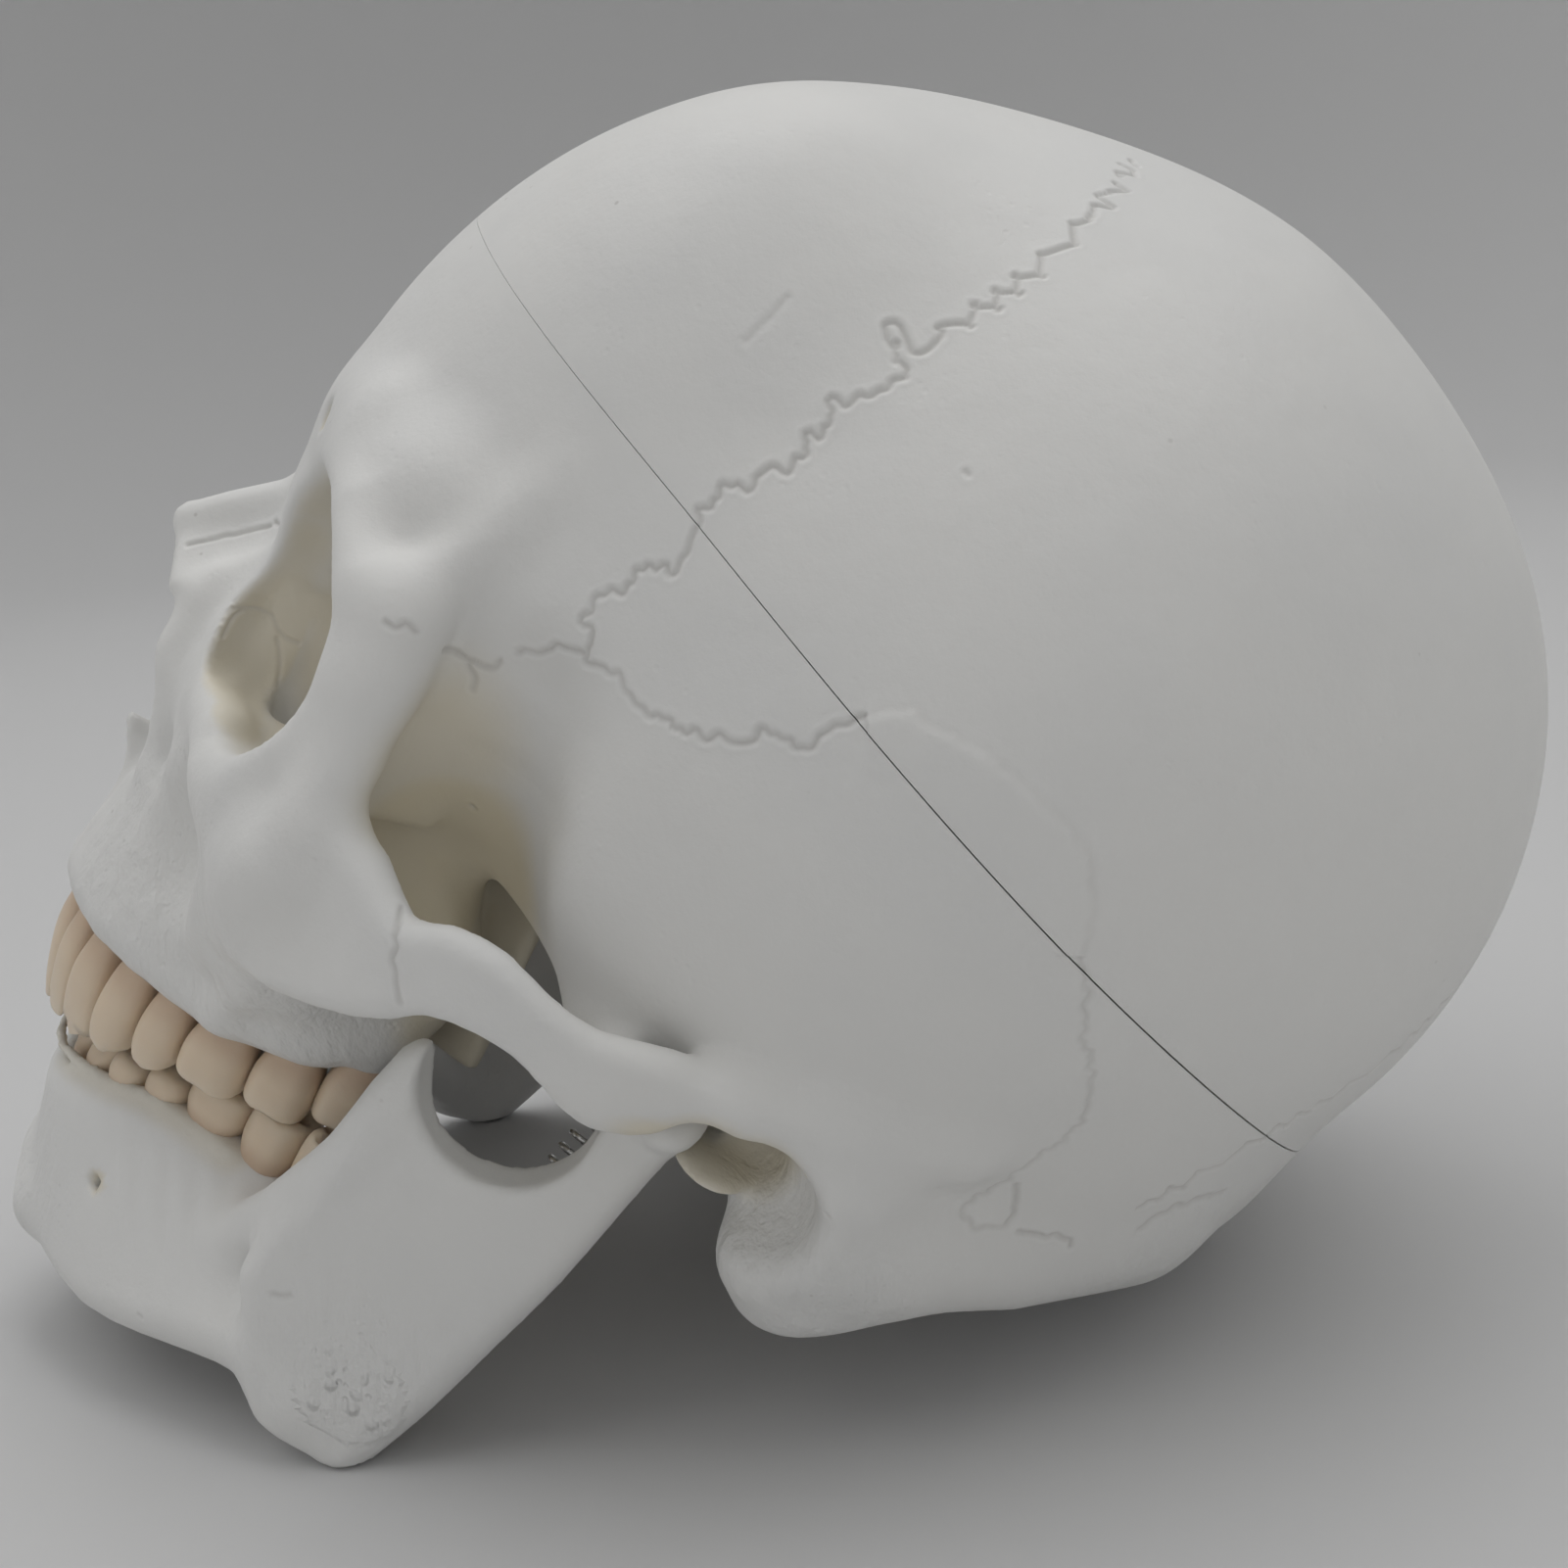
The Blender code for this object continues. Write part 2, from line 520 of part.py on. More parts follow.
def split_skull(whole, model, cutters, bone):
    """Skull base, bones of the face, and skull cap parted along the saw cut."""
    frame = cut_placement()
    cap = piece_of(whole, "calvarium", model, bone)
    add_boolean(cap, cutting_block("cap_block", frame, cutters), "INTERSECT")
    base = piece_of(whole, "skull_base", model, bone)
    face = piece_of(whole, "facial_skeleton", model, bone)
    front = Matrix.Translation(place((0, FACE_PLANE_share, 0))) @ Matrix.Rotation(math.pi / 2, 4, "X")
    add_boolean(face, cutting_block("face_block", front, cutters), "INTERSECT")
    behind = front @ Matrix.Translation((0, 0, -CUT_GAP))
    add_boolean(base, cutting_block("rear_block", behind, cutters))
    below = frame @ Matrix.Translation((0, 0, -CUT_GAP))
    base_block = cutting_block("base_block", below, cutters)
    for piece in (base, face):
        add_boolean(piece, base_block)
    mesh = bmesh.new()
    for centre in (CONDYLE_shares[0], mirrored(CONDYLE_shares[:1])[0]):
        add_lump(mesh, centre, CONDYLE_shares[1], grow=JAW_GAP, sides=16)
    add_boolean(base, as_cutter(object_of(mesh, "condyle_sockets", cutters)))
    return base, face, cap


def arch_stations(arch, widths):
    """Middle, direction and width of each tooth of the left side, from the midline back."""
    points = [place(row) for row in arch]
    lengths = [0.0]
    for first, second in zip(points[:-1], points[1:]):
        lengths.append(lengths[-1] + (second - first).length)

    def spot(length):
        return Vector([np.interp(length, lengths, [point[axis] for point in points]) for axis in range(3)])

    stations = []
    start = 0.0
    for share in widths:
        width = share * lengths[-1]
        way = (spot(start + width) - spot(start)).normalized()
        stations.append((spot(start + width / 2), way, width))
        start += width
    return stations


def socket_rings(rings):
    """Rings of a socket: the root's own, and the neck carried straight up past the bone."""
    above, below = rings[2], rings[3]
    along = (SOCKET_TOP_share - below[0]) / (above[0] - below[0])
    breadth = below[1] + along * (above[1] - below[1])
    depth = below[2] + along * (above[2] - below[2])
    top = (above[0], breadth, depth)
    return (top, (SOCKET_TOP_share, breadth, depth)) + rings[4:]


def add_tooth(mesh, station, crown_way, crown, rings, grow, side):
    """Adds a tooth, or its socket, as a sphere drawn out to the form that the rings give."""
    (middle, way, width), (height, thickness) = station, crown
    along = (way - way.dot(crown_way) * crown_way).normalized()
    outward = crown_way.cross(along)
    count = len(rings) + 1
    made = bmesh.ops.create_uvsphere(mesh, u_segments=TOOTH_SIDES, v_segments=count, radius=1)
    root = ROOT_LENGTH_share * HEIGHT_SPAN
    for vert in made["verts"]:
        ring = round(math.acos(max(-1.0, min(1.0, vert.co.z))) / math.pi * count)
        pole = ring in (0, count)
        level, breadth, depth = rings[min(max(ring, 1), count - 1) - 1]
        across = 0 if pole else math.hypot(vert.co.x, vert.co.y)
        cosine = vert.co.x / across if across else 0
        sine = vert.co.y / across if across else 0
        beside = math.copysign(abs(cosine) ** TOOTH_SQUARENESS_share, cosine) * (breadth * (width - FIT_GAP) / 2 + grow)
        before = math.copysign(abs(sine) ** TOOTH_SQUARENESS_share, sine) * (depth * thickness / 2 + grow)
        if pole:
            beside = before = 0
        up = level * height if level > 0 else level * root
        if ring >= count - 1:
            up -= grow
        vert.co = middle + along * beside + outward * before + crown_way * up
    if side < 0:
        bmesh.ops.scale(mesh, vec=(-1, 1, 1), verts=made["verts"])
        bmesh.ops.reverse_faces(mesh, faces=list({face for vert in made["verts"] for face in vert.link_faces}))


def make_teeth(jaw, rise_sign, lean, arch, widths, crowns, bone_piece, model, cutters, enamel):
    """Both sides of one row of teeth, and the sockets cut for them in their bone."""
    crown_way = Vector((0, lean, rise_sign)).normalized()
    sockets = bmesh.new()
    teeth = []
    for index, station in enumerate(arch_stations(arch, widths)):
        rings = CUTTING_TOOTH_shares if index < 3 else GRINDING_TOOTH_shares
        crown = (crowns[index] * HEIGHT_SPAN, CROWN_DEPTH_shares[index] * DEPTH_SPAN)
        for side, word in ((1, "left"), (-1, "right")):
            mesh = bmesh.new()
            add_tooth(mesh, station, crown_way, crown, rings, 0, side)
            tooth = object_of(mesh, f"{jaw}_{word}_{TOOTH_NAMES[index]}", model)
            teeth.append(finished(tooth, enamel))
            add_tooth(sockets, station, crown_way, crown, socket_rings(rings), FIT_GAP, side)
    add_boolean(bone_piece, as_cutter(object_of(sockets, jaw + "_sockets", cutters)))
    return teeth


def rod(mesh, frame, radius, low, high, sides):
    """Adds a rod along +Z of a frame."""
    made = bmesh.ops.create_cone(
        mesh, cap_ends=True, segments=sides, radius1=radius, radius2=radius, depth=high - low
    )
    shift = Matrix.Translation((0, 0, (low + high) / 2))
    bmesh.ops.transform(mesh, matrix=frame @ shift, verts=made["verts"])


def rim_frame(turn):
    """Frame in the middle of the wall where the saw cut meets the braincase."""
    frame = cut_placement()
    angle = math.tau * turn
    way = np.array(frame.to_3x3() @ Vector((math.sin(angle), -math.cos(angle), 0)))
    spans = np.array((BREADTH_SPAN, DEPTH_SPAN, HEIGHT_SPAN))
    start = np.array(frame.translation)
    reach = DEPTH_SPAN
    for _ in range(24):
        off = braincase_distance((start + way * reach) / spans)
        reach -= off * DEPTH_SPAN + VAULT_WALL / 2
    return Matrix.Translation(Vector(start + way * reach)) @ frame.to_3x3().to_4x4()


def make_pins(bones, model, cutters, steel):
    """Three pins round the rim that keep the cap from sliding sideways."""
    holes = bmesh.new()
    pins = []
    for word, turn in PIN_shares.items():
        frame = rim_frame(turn)
        mesh = bmesh.new()
        rod(mesh, frame, PIN_DIAMETER / 2, -PIN_SUNK, PIN_LENGTH - PIN_SUNK, 8)
        pin = finished(object_of(mesh, "cap_pin_" + word, model), steel)
        chamfer = pin.modifiers.new("chamfer", "BEVEL")
        chamfer.width = PIN_CHAMFER
        chamfer.segments = 1
        pins.append(pin)
        radius = PIN_DIAMETER / 2 + FIT_GAP
        rod(holes, frame, radius, -PIN_SUNK - FIT_GAP, PIN_LENGTH - PIN_SUNK + FIT_GAP, 12)
    cutter = as_cutter(object_of(holes, "pin_holes", cutters))
    for piece in bones:
        add_boolean(piece, cutter)
    return pins


def wire(name, path, diameter, collection, material):
    """Wire along a path of points, closed at its ends."""
    curve = bpy.data.curves.new(name, "CURVE")
    curve.dimensions = "3D"
    curve.bevel_depth = diameter / 2
    curve.bevel_resolution = 1
    curve.use_fill_caps = True
    spline = curve.splines.new("POLY")
    spline.points.add(len(path) - 1)
    for point, spot in zip(spline.points, path):
        point.co = (*spot, 1)
    raw = bpy.data.objects.new(name + "_path", curve)
    collection.objects.link(raw)
    made = baked(raw, name, collection)
    mesh = bmesh.new()
    mesh.from_mesh(made.data)
    bmesh.ops.remove_doubles(mesh, verts=mesh.verts, dist=WELD_GAP)
    bmesh.ops.recalc_face_normals(mesh, faces=mesh.faces)
    mesh.to_mesh(made.data)
    mesh.free()
    return finished(made, material)


def seat_of(target, start, way):
    """Where a ray from a start place meets a piece."""
    graph = bpy.context.evaluated_depsgraph_get()
    hit, spot, _, _ = target.ray_cast(place(start), Vector(way), depsgraph=graph)
    if not hit:
        raise ValueError(f"no bone of {target.name} lies that way")
    return spot


def make_eye(name, target, start, way, model, cutters, steel):
    """Screw eye for a spring, seated where a ray meets the bone, and the hole for its shank."""
    way = Vector(way)
    seat = seat_of(target, start, way)
    centre = seat - way * (EYE_DIAMETER / 2 + FIT_GAP)
    beside = way.cross(Vector((0, 1, 0)))
    radius = (EYE_DIAMETER - EYE_WIRE) / 2
    path = [seat + way * EYE_SHANK, seat, centre + way * EYE_DIAMETER / 2]
    for degrees in np.linspace(*EYE_TURN_DEGREES, 11):
        angle = math.radians(degrees)
        path.append(centre + radius * (math.cos(angle) * way + math.sin(angle) * beside))
    eye = wire(name, path, EYE_WIRE, model, steel)
    hole = bmesh.new()
    frame = Matrix.Translation(seat) @ way.to_track_quat("Z", "Y").to_matrix().to_4x4()
    rod(hole, frame, EYE_WIRE / 2 + FIT_GAP, -EYE_SHANK, EYE_SHANK + FIT_GAP, 12)
    add_boolean(target, as_cutter(object_of(hole, name + "_hole", cutters)))
    return eye, centre


def spring_path(first, second):
    """Points of a coil spring hooked through the eyes at two centres."""
    axis = (second - first).normalized()
    flat = Vector((axis.x, 0, axis.z)).normalized()
    ring = (EYE_DIAMETER - EYE_WIRE) / 2
    coil = (COIL_DIAMETER - WIRE_DIAMETER) / 2
    start, end = first + flat * ring, second - flat * ring
    axis = (end - start).normalized()
    across = (Vector((0, 1, 0)) - axis.y * axis).normalized()
    third = axis.cross(across)
    length = (end - start).length - 2 * HOOK_RADIUS
    hook = []
    for degrees in np.linspace(HOOK_START_DEGREES, 360, 12, endpoint=False):
        angle = math.radians(degrees)
        hook.append(HOOK_RADIUS * (math.cos(angle) * axis + math.sin(angle) * across))
    turns = COIL_TURNS + 1
    points = [start + offset for offset in hook]
    steps = turns * 8
    for step in range(steps + 1):
        turn = step / 8
        lead = min(turn, turns - turn, 1 / 2) * 2
        angle = math.tau * turn
        spread = coil * lead * (math.cos(angle) * across + math.sin(angle) * third)
        along = HOOK_RADIUS + length * step / steps
        points.append(start + axis * along + spread)
    for offset in reversed(hook):
        points.append(end + offset - 2 * offset.dot(axis) * axis)
    return points


def least_gap(path, diameter):
    """Least clear space between stretches of one wire that aren't neighbours along it."""
    spots = np.array(path)
    along = np.concatenate(([0], np.cumsum(np.linalg.norm(np.diff(spots, axis=0), axis=1))))
    apart = np.linalg.norm(spots[:, None] - spots[None], axis=-1)
    neighbours = np.abs(along[:, None] - along[None]) < 3 * diameter
    return float(np.where(neighbours, np.inf, apart).min()) - diameter


def add_springs(base, jaw, model, cutters, steel):
    """Two springs that hold the jaw closed, inside the rami, with the eyes that they hook into."""
    on_base, on_jaw = [], []
    for side, word in ((1, "left"), (-1, "right")):
        ends = []
        for bone, (start, way), label, pieces in (
            (base, SKULL_EYE_shares, "skull", on_base), (jaw, JAW_EYE_shares, "jaw", on_jaw)
        ):
            start, way = (start, way) if side > 0 else mirrored((start, way))
            eye, centre = make_eye(f"{label}_spring_eye_{word}", bone, start, way, model, cutters, steel)
            pieces.append(eye)
            ends.append(centre)
        path = spring_path(*ends)
        print(f"jaw_spring_{word} least self-gap {least_gap(path, WIRE_DIAMETER):.5f} m")
        on_base.append(wire("jaw_spring_" + word, path, WIRE_DIAMETER, model, steel))
    return on_base, on_jaw


def evaluated_points(target):
    """Points of a piece as its modifiers leave it, in the skull's own frame."""
    graph = bpy.context.evaluated_depsgraph_get()
    mesh = target.evaluated_get(graph).to_mesh()
    points = np.empty(len(mesh.vertices) * 3, np.float32)
    mesh.vertices.foreach_get("co", points)
    target.evaluated_get(graph).to_mesh_clear()
    return points.reshape(-1, 3).astype(float)


def rest_turn(base, jaw):
    """Turn about +X that lays the jaw's corners and the back of the head on one level."""
    clouds = [evaluated_points(piece) for piece in (jaw, base)]

    def lowest(pitch):
        turn = np.array(Matrix.Rotation(-math.radians(pitch), 3, "X"))
        return [float((cloud @ turn.T)[:, 2].min()) for cloud in clouds]

    low, high = REST_PITCH_DEGREES
    for _ in range(40):
        middle = (low + high) / 2
        jaw_level, nape_level = lowest(middle)
        if jaw_level > nape_level:
            high = middle
        else:
            low = middle
    return Matrix.Rotation(-math.radians(middle), 4, "X"), min(jaw_level, nape_level)


def add_flats(pieces, turn, level, cutters):
    """Cuts the small flats that the model rests on."""
    upside_down = Matrix.Rotation(math.pi, 4, "X")
    frame = turn.inverted() @ Matrix.Translation((0, 0, level + REST_FLAT)) @ upside_down
    floor = cutting_block("rest_block", frame, cutters)
    for piece in pieces:
        add_boolean(piece, floor)


def empty(name, spot, parent, collection):
    made = bpy.data.objects.new(name, None)
    collection.objects.link(made)
    made.parent = parent
    made.location = spot
    return made


def hang(pieces, parent, spot):
    """Parents pieces modelled in the skull's frame to an empty that stands at a spot of it."""
    for piece in pieces:
        piece.parent = parent
        piece.location = -spot


def main():
    clear_scene()
    model = make_collection("anatomical_skull")
    cutters = make_collection("cutters")
    bone = make_material("bone_plastic", BONE_COLOUR, 0.55)
    enamel = make_material("tooth_plastic", TOOTH_COLOUR, 0.40)
    steel = make_material("spring_steel", STEEL_COLOUR, 0.30, 1.0)

    base, face, cap = split_skull(make_skull(cutters), model, cutters, bone)
    jaw = piece_of(make_jaw(cutters), "mandible", model, bone)
    upper = make_teeth(
        "upper", -1, UPPER_LEAN_share, UPPER_ARCH_shares, UPPER_WIDTH_shares, UPPER_CROWN_shares,
        face, model, cutters, enamel,
    )
    lower = make_teeth(
        "lower", 1, LOWER_LEAN_share, LOWER_ARCH_shares, LOWER_WIDTH_shares, LOWER_CROWN_shares,
        jaw, model, cutters, enamel,
    )
    pins = make_pins((base, face, cap), model, cutters, steel)
    on_base, on_jaw = add_springs(base, jaw, model, cutters, steel)
    turn, level = rest_turn(base, jaw)
    add_flats((base, jaw), turn, level, cutters)

    clouds = np.concatenate([evaluated_points(piece) for piece in model.objects])
    clouds = clouds @ np.array(turn.to_3x3()).T
    low, high = clouds.min(axis=0), clouds.max(axis=0)
    rest = empty("rest_pose", (-(low[0] + high[0]) / 2, -(low[1] + high[1]) / 2, -low[2]), None, model)
    rest.rotation_euler = turn.to_euler()
    hinge = place((0,) + CONDYLE_shares[0][1:])
    lift = cut_placement().translation
    jaw_axis = empty("jaw_axis", hinge, rest, model)
    cap_slide = empty("cap_slide", lift, rest, model)
    hang([base, face, *upper, *pins, *on_base], rest, Vector())
    hang([jaw, *lower, *on_jaw], jaw_axis, hinge)
    hang([cap], cap_slide, lift)
    own = {"cap_block": (cap_slide, lift), "jaw_notch": (jaw_axis, hinge)}
    for cutter in cutters.objects:
        hang([cutter], *own.get(cutter.name, (rest, Vector())))

    bpy.context.view_layer.update()
    way = (rest.matrix_world.to_3x3() @ cut_placement().to_3x3()).col[2]
    for label, value in (
        ("size", high - low), ("rest", rest.location), ("rest turn", turn.to_euler()),
        ("hinge", jaw_axis.matrix_world.translation), ("lift", cap_slide.matrix_world.translation),
        ("lift way", way),
    ):
        print(label, [round(float(number), 6) for number in value])


main()
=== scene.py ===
"""Looks of a life-size anatomical skull model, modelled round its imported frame.

The bone is sculpted as distance fields in the skull's own anatomical frame: millimetres, the origin
midway between the ears, +X to the skull's left, -Y towards the face and +Z up. The frame's own joints
say how that frame is tipped back into the resting pose.
"""

import json
import logging
import math
from dataclasses import dataclass
from enum import Enum
from typing import ClassVar

import bmesh
import bpy
import numpy as np
import openvdb
from mathutils import Matrix, Vector
from mathutils.bvhtree import BVHTree
from mathutils.kdtree import KDTree


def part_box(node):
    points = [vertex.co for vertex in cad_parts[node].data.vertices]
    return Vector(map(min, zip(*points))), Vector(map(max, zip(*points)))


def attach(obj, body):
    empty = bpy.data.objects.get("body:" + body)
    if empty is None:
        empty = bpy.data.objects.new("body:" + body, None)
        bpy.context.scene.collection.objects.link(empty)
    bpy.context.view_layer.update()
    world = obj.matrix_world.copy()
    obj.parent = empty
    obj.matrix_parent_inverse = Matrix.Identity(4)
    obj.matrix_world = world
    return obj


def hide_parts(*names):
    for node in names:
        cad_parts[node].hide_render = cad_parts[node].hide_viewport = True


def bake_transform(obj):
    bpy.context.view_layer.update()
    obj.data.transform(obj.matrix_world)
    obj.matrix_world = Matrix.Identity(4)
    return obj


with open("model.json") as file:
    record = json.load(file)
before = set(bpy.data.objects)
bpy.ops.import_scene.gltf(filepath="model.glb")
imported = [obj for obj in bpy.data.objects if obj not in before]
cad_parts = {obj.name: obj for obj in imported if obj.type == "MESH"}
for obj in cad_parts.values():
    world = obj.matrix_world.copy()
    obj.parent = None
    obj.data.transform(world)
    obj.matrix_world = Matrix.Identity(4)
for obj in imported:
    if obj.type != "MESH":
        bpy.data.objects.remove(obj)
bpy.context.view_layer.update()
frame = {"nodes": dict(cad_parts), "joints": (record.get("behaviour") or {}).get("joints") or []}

LOG = logging.getLogger("skull")
MM = 0.001
FAR = 60.0  # value of a distance field that holds nothing yet
CUT_RISE, CUT_SLOPE = 38.0, -0.343  # saw cut: height over the origin, and height gained per depth
HINGE_SPOT = (0.0, -12.5, -9.0)
PHOTO_SIDE = 1601
FLAT_HEIGHT = 0.05  # of the flats that the model rests on, in millimetres over the floor
QUICK_STEP, FULL_STEP = 1.3, 0.85  # spacing of the sculpting grid, in millimetres
QUICK_CUTS, FULL_CUTS = 1, 3  # how many times the edges along a suture are cut
PER_MM = 3  # points of a suture's line to the millimetre


class Piece(Enum):
    """Bodies of the frame that pieces ride on."""

    CRANIUM = "cranium"
    CAP = "calvarium"
    JAW = "mandible"


@dataclass(frozen=True)
class RestPose:
    """Turn and shift that take the anatomical frame to the resting model, read from the joints."""

    turn: float
    shift: Vector

    @classmethod
    def from_joints(cls, joints: list[dict]) -> "RestPose":
        """Reads the pose from the way the cap lifts and the place of the jaw's hinge.

        Args:
            joints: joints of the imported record.

        Returns:
            The pose.
        """
        named = {joint["name"]: joint for joint in joints}
        lift = named["cap_lift"]["axis"]
        turn = math.atan2(-lift[1], lift[2]) + math.atan(-CUT_SLOPE)
        hinge = Matrix.Rotation(turn, 3, "X") @ (Vector(HINGE_SPOT) * MM)
        return cls(turn, Vector(named["jaw_hinge"]["pos_m"]) - hinge)

    def matrix(self) -> Matrix:
        """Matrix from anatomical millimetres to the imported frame's metres."""
        return Matrix.Translation(self.shift) @ Matrix.Rotation(self.turn, 4, "X") @ Matrix.Scale(MM, 4)


REST = RestPose.from_joints(frame["joints"])


def smooth_least(first: np.ndarray, second: np.ndarray, width: float) -> np.ndarray:
    """Smaller of two distances, rounded over where they are nearly alike.

    Args:
        first: distances to one form.
        second: distances to the other.
        width: width of the rounding, none at zero.

    Returns:
        Distances to both forms together.
    """
    least = np.minimum(first, second)
    if width <= 0:
        return least
    near = np.maximum(width - np.abs(first - second), 0)
    return least - near * near / (4 * width)


@dataclass(frozen=True)
class Ball:
    """Ellipsoid of clay, turned about +Z, then +X, then +Y, in degrees."""

    centre: tuple
    radii: tuple
    blend: float = 3.0
    turns: tuple = (0.0, 0.0, 0.0)

    def mirrored(self) -> "Ball":
        """The same ellipsoid on the other side of the midline."""
        return Ball((-self.centre[0], *self.centre[1:]), self.radii, self.blend, (-self.turns[0], *self.turns[1:]))

    def axes(self) -> np.ndarray:
        """Directions of the three radii, as columns."""
        about_z, about_x, about_y = (math.radians(turn) for turn in self.turns)
        turned = Matrix.Rotation(about_z, 3, "Z") @ Matrix.Rotation(about_x, 3, "X")
        return np.array(turned @ Matrix.Rotation(about_y, 3, "Y"))

    def reach(self) -> tuple[np.ndarray, np.ndarray]:
        """Lowest and highest corner."""
        span = np.sqrt(((self.axes() * np.array(self.radii)) ** 2).sum(1))
        return np.array(self.centre) - span, np.array(self.centre) + span

    def distance(self, x: np.ndarray, y: np.ndarray, z: np.ndarray) -> np.ndarray:
        """Distance from the surface at a grid's places, negative inside.

        Args:
            x: places across.
            y: places in depth.
            z: heights.

        Returns:
            The distances.
        """
        axes = self.axes()
        x, y, z = x - self.centre[0], y - self.centre[1], z - self.centre[2]
        near, far = 0.0, 0.0
        for index, radius in enumerate(self.radii):
            part = (axes[0, index] * x + axes[1, index] * y + axes[2, index] * z) / radius
            near = near + part * part
            far = far + part * part / radius**2
        near = np.sqrt(near)
        return near * (near - 1) / np.maximum(np.sqrt(far), 1e-6)


@dataclass(frozen=True)
class Rod:
    """Row of balls joined by cones, each row entry a place and a radius."""

    row: tuple
    blend: float = 3.0

    def mirrored(self) -> "Rod":
        """The same row on the other side of the midline."""
        return Rod(tuple((-ball[0], *ball[1:]) for ball in self.row), self.blend)

    def reach(self) -> tuple[np.ndarray, np.ndarray]:
        """Lowest and highest corner."""
        row = np.array(self.row)
        return (row[:, :3] - row[:, 3:]).min(0), (row[:, :3] + row[:, 3:]).max(0)

    def distance(self, x: np.ndarray, y: np.ndarray, z: np.ndarray) -> np.ndarray:
        """Distance from the surface at a grid's places, as for Ball."""
        least = None
        row = np.array(self.row)
        for first, second in zip(row[:-1], row[1:]):
            way = second[:3] - first[:3]
            offset = (x - first[0], y - first[1], z - first[2])
            along = sum(part * step for part, step in zip(offset, way)) / (way @ way)
            along = np.clip(along, 0, 1)
            apart = sum((part - along * step) ** 2 for part, step in zip(offset, way))
            found = np.sqrt(apart) - (first[3] + along * (second[3] - first[3]))
            least = found if least is None else np.minimum(least, found)
        return least


def eased(row: np.ndarray, count: int) -> np.ndarray:
    """Row of places resampled along a smooth curve through them, square to the midline where it starts there.

    Args:
        row: places, one to a line.
        count: pieces to cut each stretch into.

    Returns:
        The longer row.
    """
    first = row[1] * (-1, *[1] * (row.shape[1] - 1)) if row[0, 0] == 0 else 2 * row[0] - row[1]
    padded = np.vstack([first, row, 2 * row[-1] - row[-2]])
    made = []
    for index in range(len(row) - 1):
        before, start, end, after = padded[index : index + 4]
        for step in range(count):
            t = step / count
            made.append(
                start
                + t * (end - before) / 2
                + t * t * (2 * before - 5 * start + 4 * end - after) / 2
                + t**3 * (3 * start - before - 3 * end + after) / 2
            )
    return np.array(made + [row[-1]])


@dataclass(frozen=True)
class Sheet:
    """Plate of bone between an upper and a lower row of balls."""

    top: tuple
    bottom: tuple
    blend: float = 3.0
    finer: int = 2

    def mirrored(self) -> "Sheet":
        """The same plate on the other side of the midline."""
        rows = (tuple((-ball[0], *ball[1:]) for ball in row) for row in (self.top, self.bottom))
        return Sheet(*rows, self.blend, self.finer)

    def reach(self) -> tuple[np.ndarray, np.ndarray]:
        """Lowest and highest corner."""
        row = np.array(self.top + self.bottom)
        return (row[:, :3] - row[:, 3:]).min(0) - 1, (row[:, :3] + row[:, 3:]).max(0) + 1

    def distance(self, x: np.ndarray, y: np.ndarray, z: np.ndarray) -> np.ndarray:
        """Distance from the surface at a grid's places, as for Ball."""
        top, bottom = eased(np.array(self.top), self.finer), eased(np.array(self.bottom), self.finer)
        least = None
        for index in range(len(top) - 1):
            corners = (top[index], top[index + 1], bottom[index + 1], bottom[index])
            for trio in ((0, 1, 2), (0, 2, 3)):
                found = self.patch([corners[corner] for corner in trio], x, y, z)
                least = found if least is None else np.minimum(least, found)
        return least

    @staticmethod
    def patch(corners: list, x: np.ndarray, y: np.ndarray, z: np.ndarray) -> np.ndarray:
        """Distance from a thick triangle whose thickness runs evenly between its corners.

        Args:
            corners: three places, each with a radius.
            x: places across.
            y: places in depth.
            z: heights.

        Returns:
            The distances.
        """
        first, one, two = corners[0][:3], corners[1][:3] - corners[0][:3], corners[2][:3] - corners[0][:3]
        offset = (x - first[0], y - first[1], z - first[2])
        dots = [sum(part * step for part, step in zip(offset, side)) for side in (one, two)]
        aa, ab, bb = one @ one, one @ two, two @ two
        scale = aa * bb - ab * ab
        if scale < 1e-6:
            return np.full(np.broadcast(x, y, z).shape, FAR, np.float32)
        u = (bb * dots[0] - ab * dots[1]) / scale
        v = (aa * dots[1] - ab * dots[0]) / scale
        inside = (u >= 0) & (v >= 0) & (u + v <= 1)
        normal = np.cross(one, two) / math.sqrt(scale)
        flat = sum(part * step for part, step in zip(offset, normal)) ** 2
        radius = corners[0][3] + u * (corners[1][3] - corners[0][3]) + v * (corners[2][3] - corners[0][3])
        edges = Rod(tuple(tuple(corners[index]) for index in (0, 1, 2, 0))).distance(x, y, z)
        return np.where(inside, np.sqrt(flat) - radius, edges)


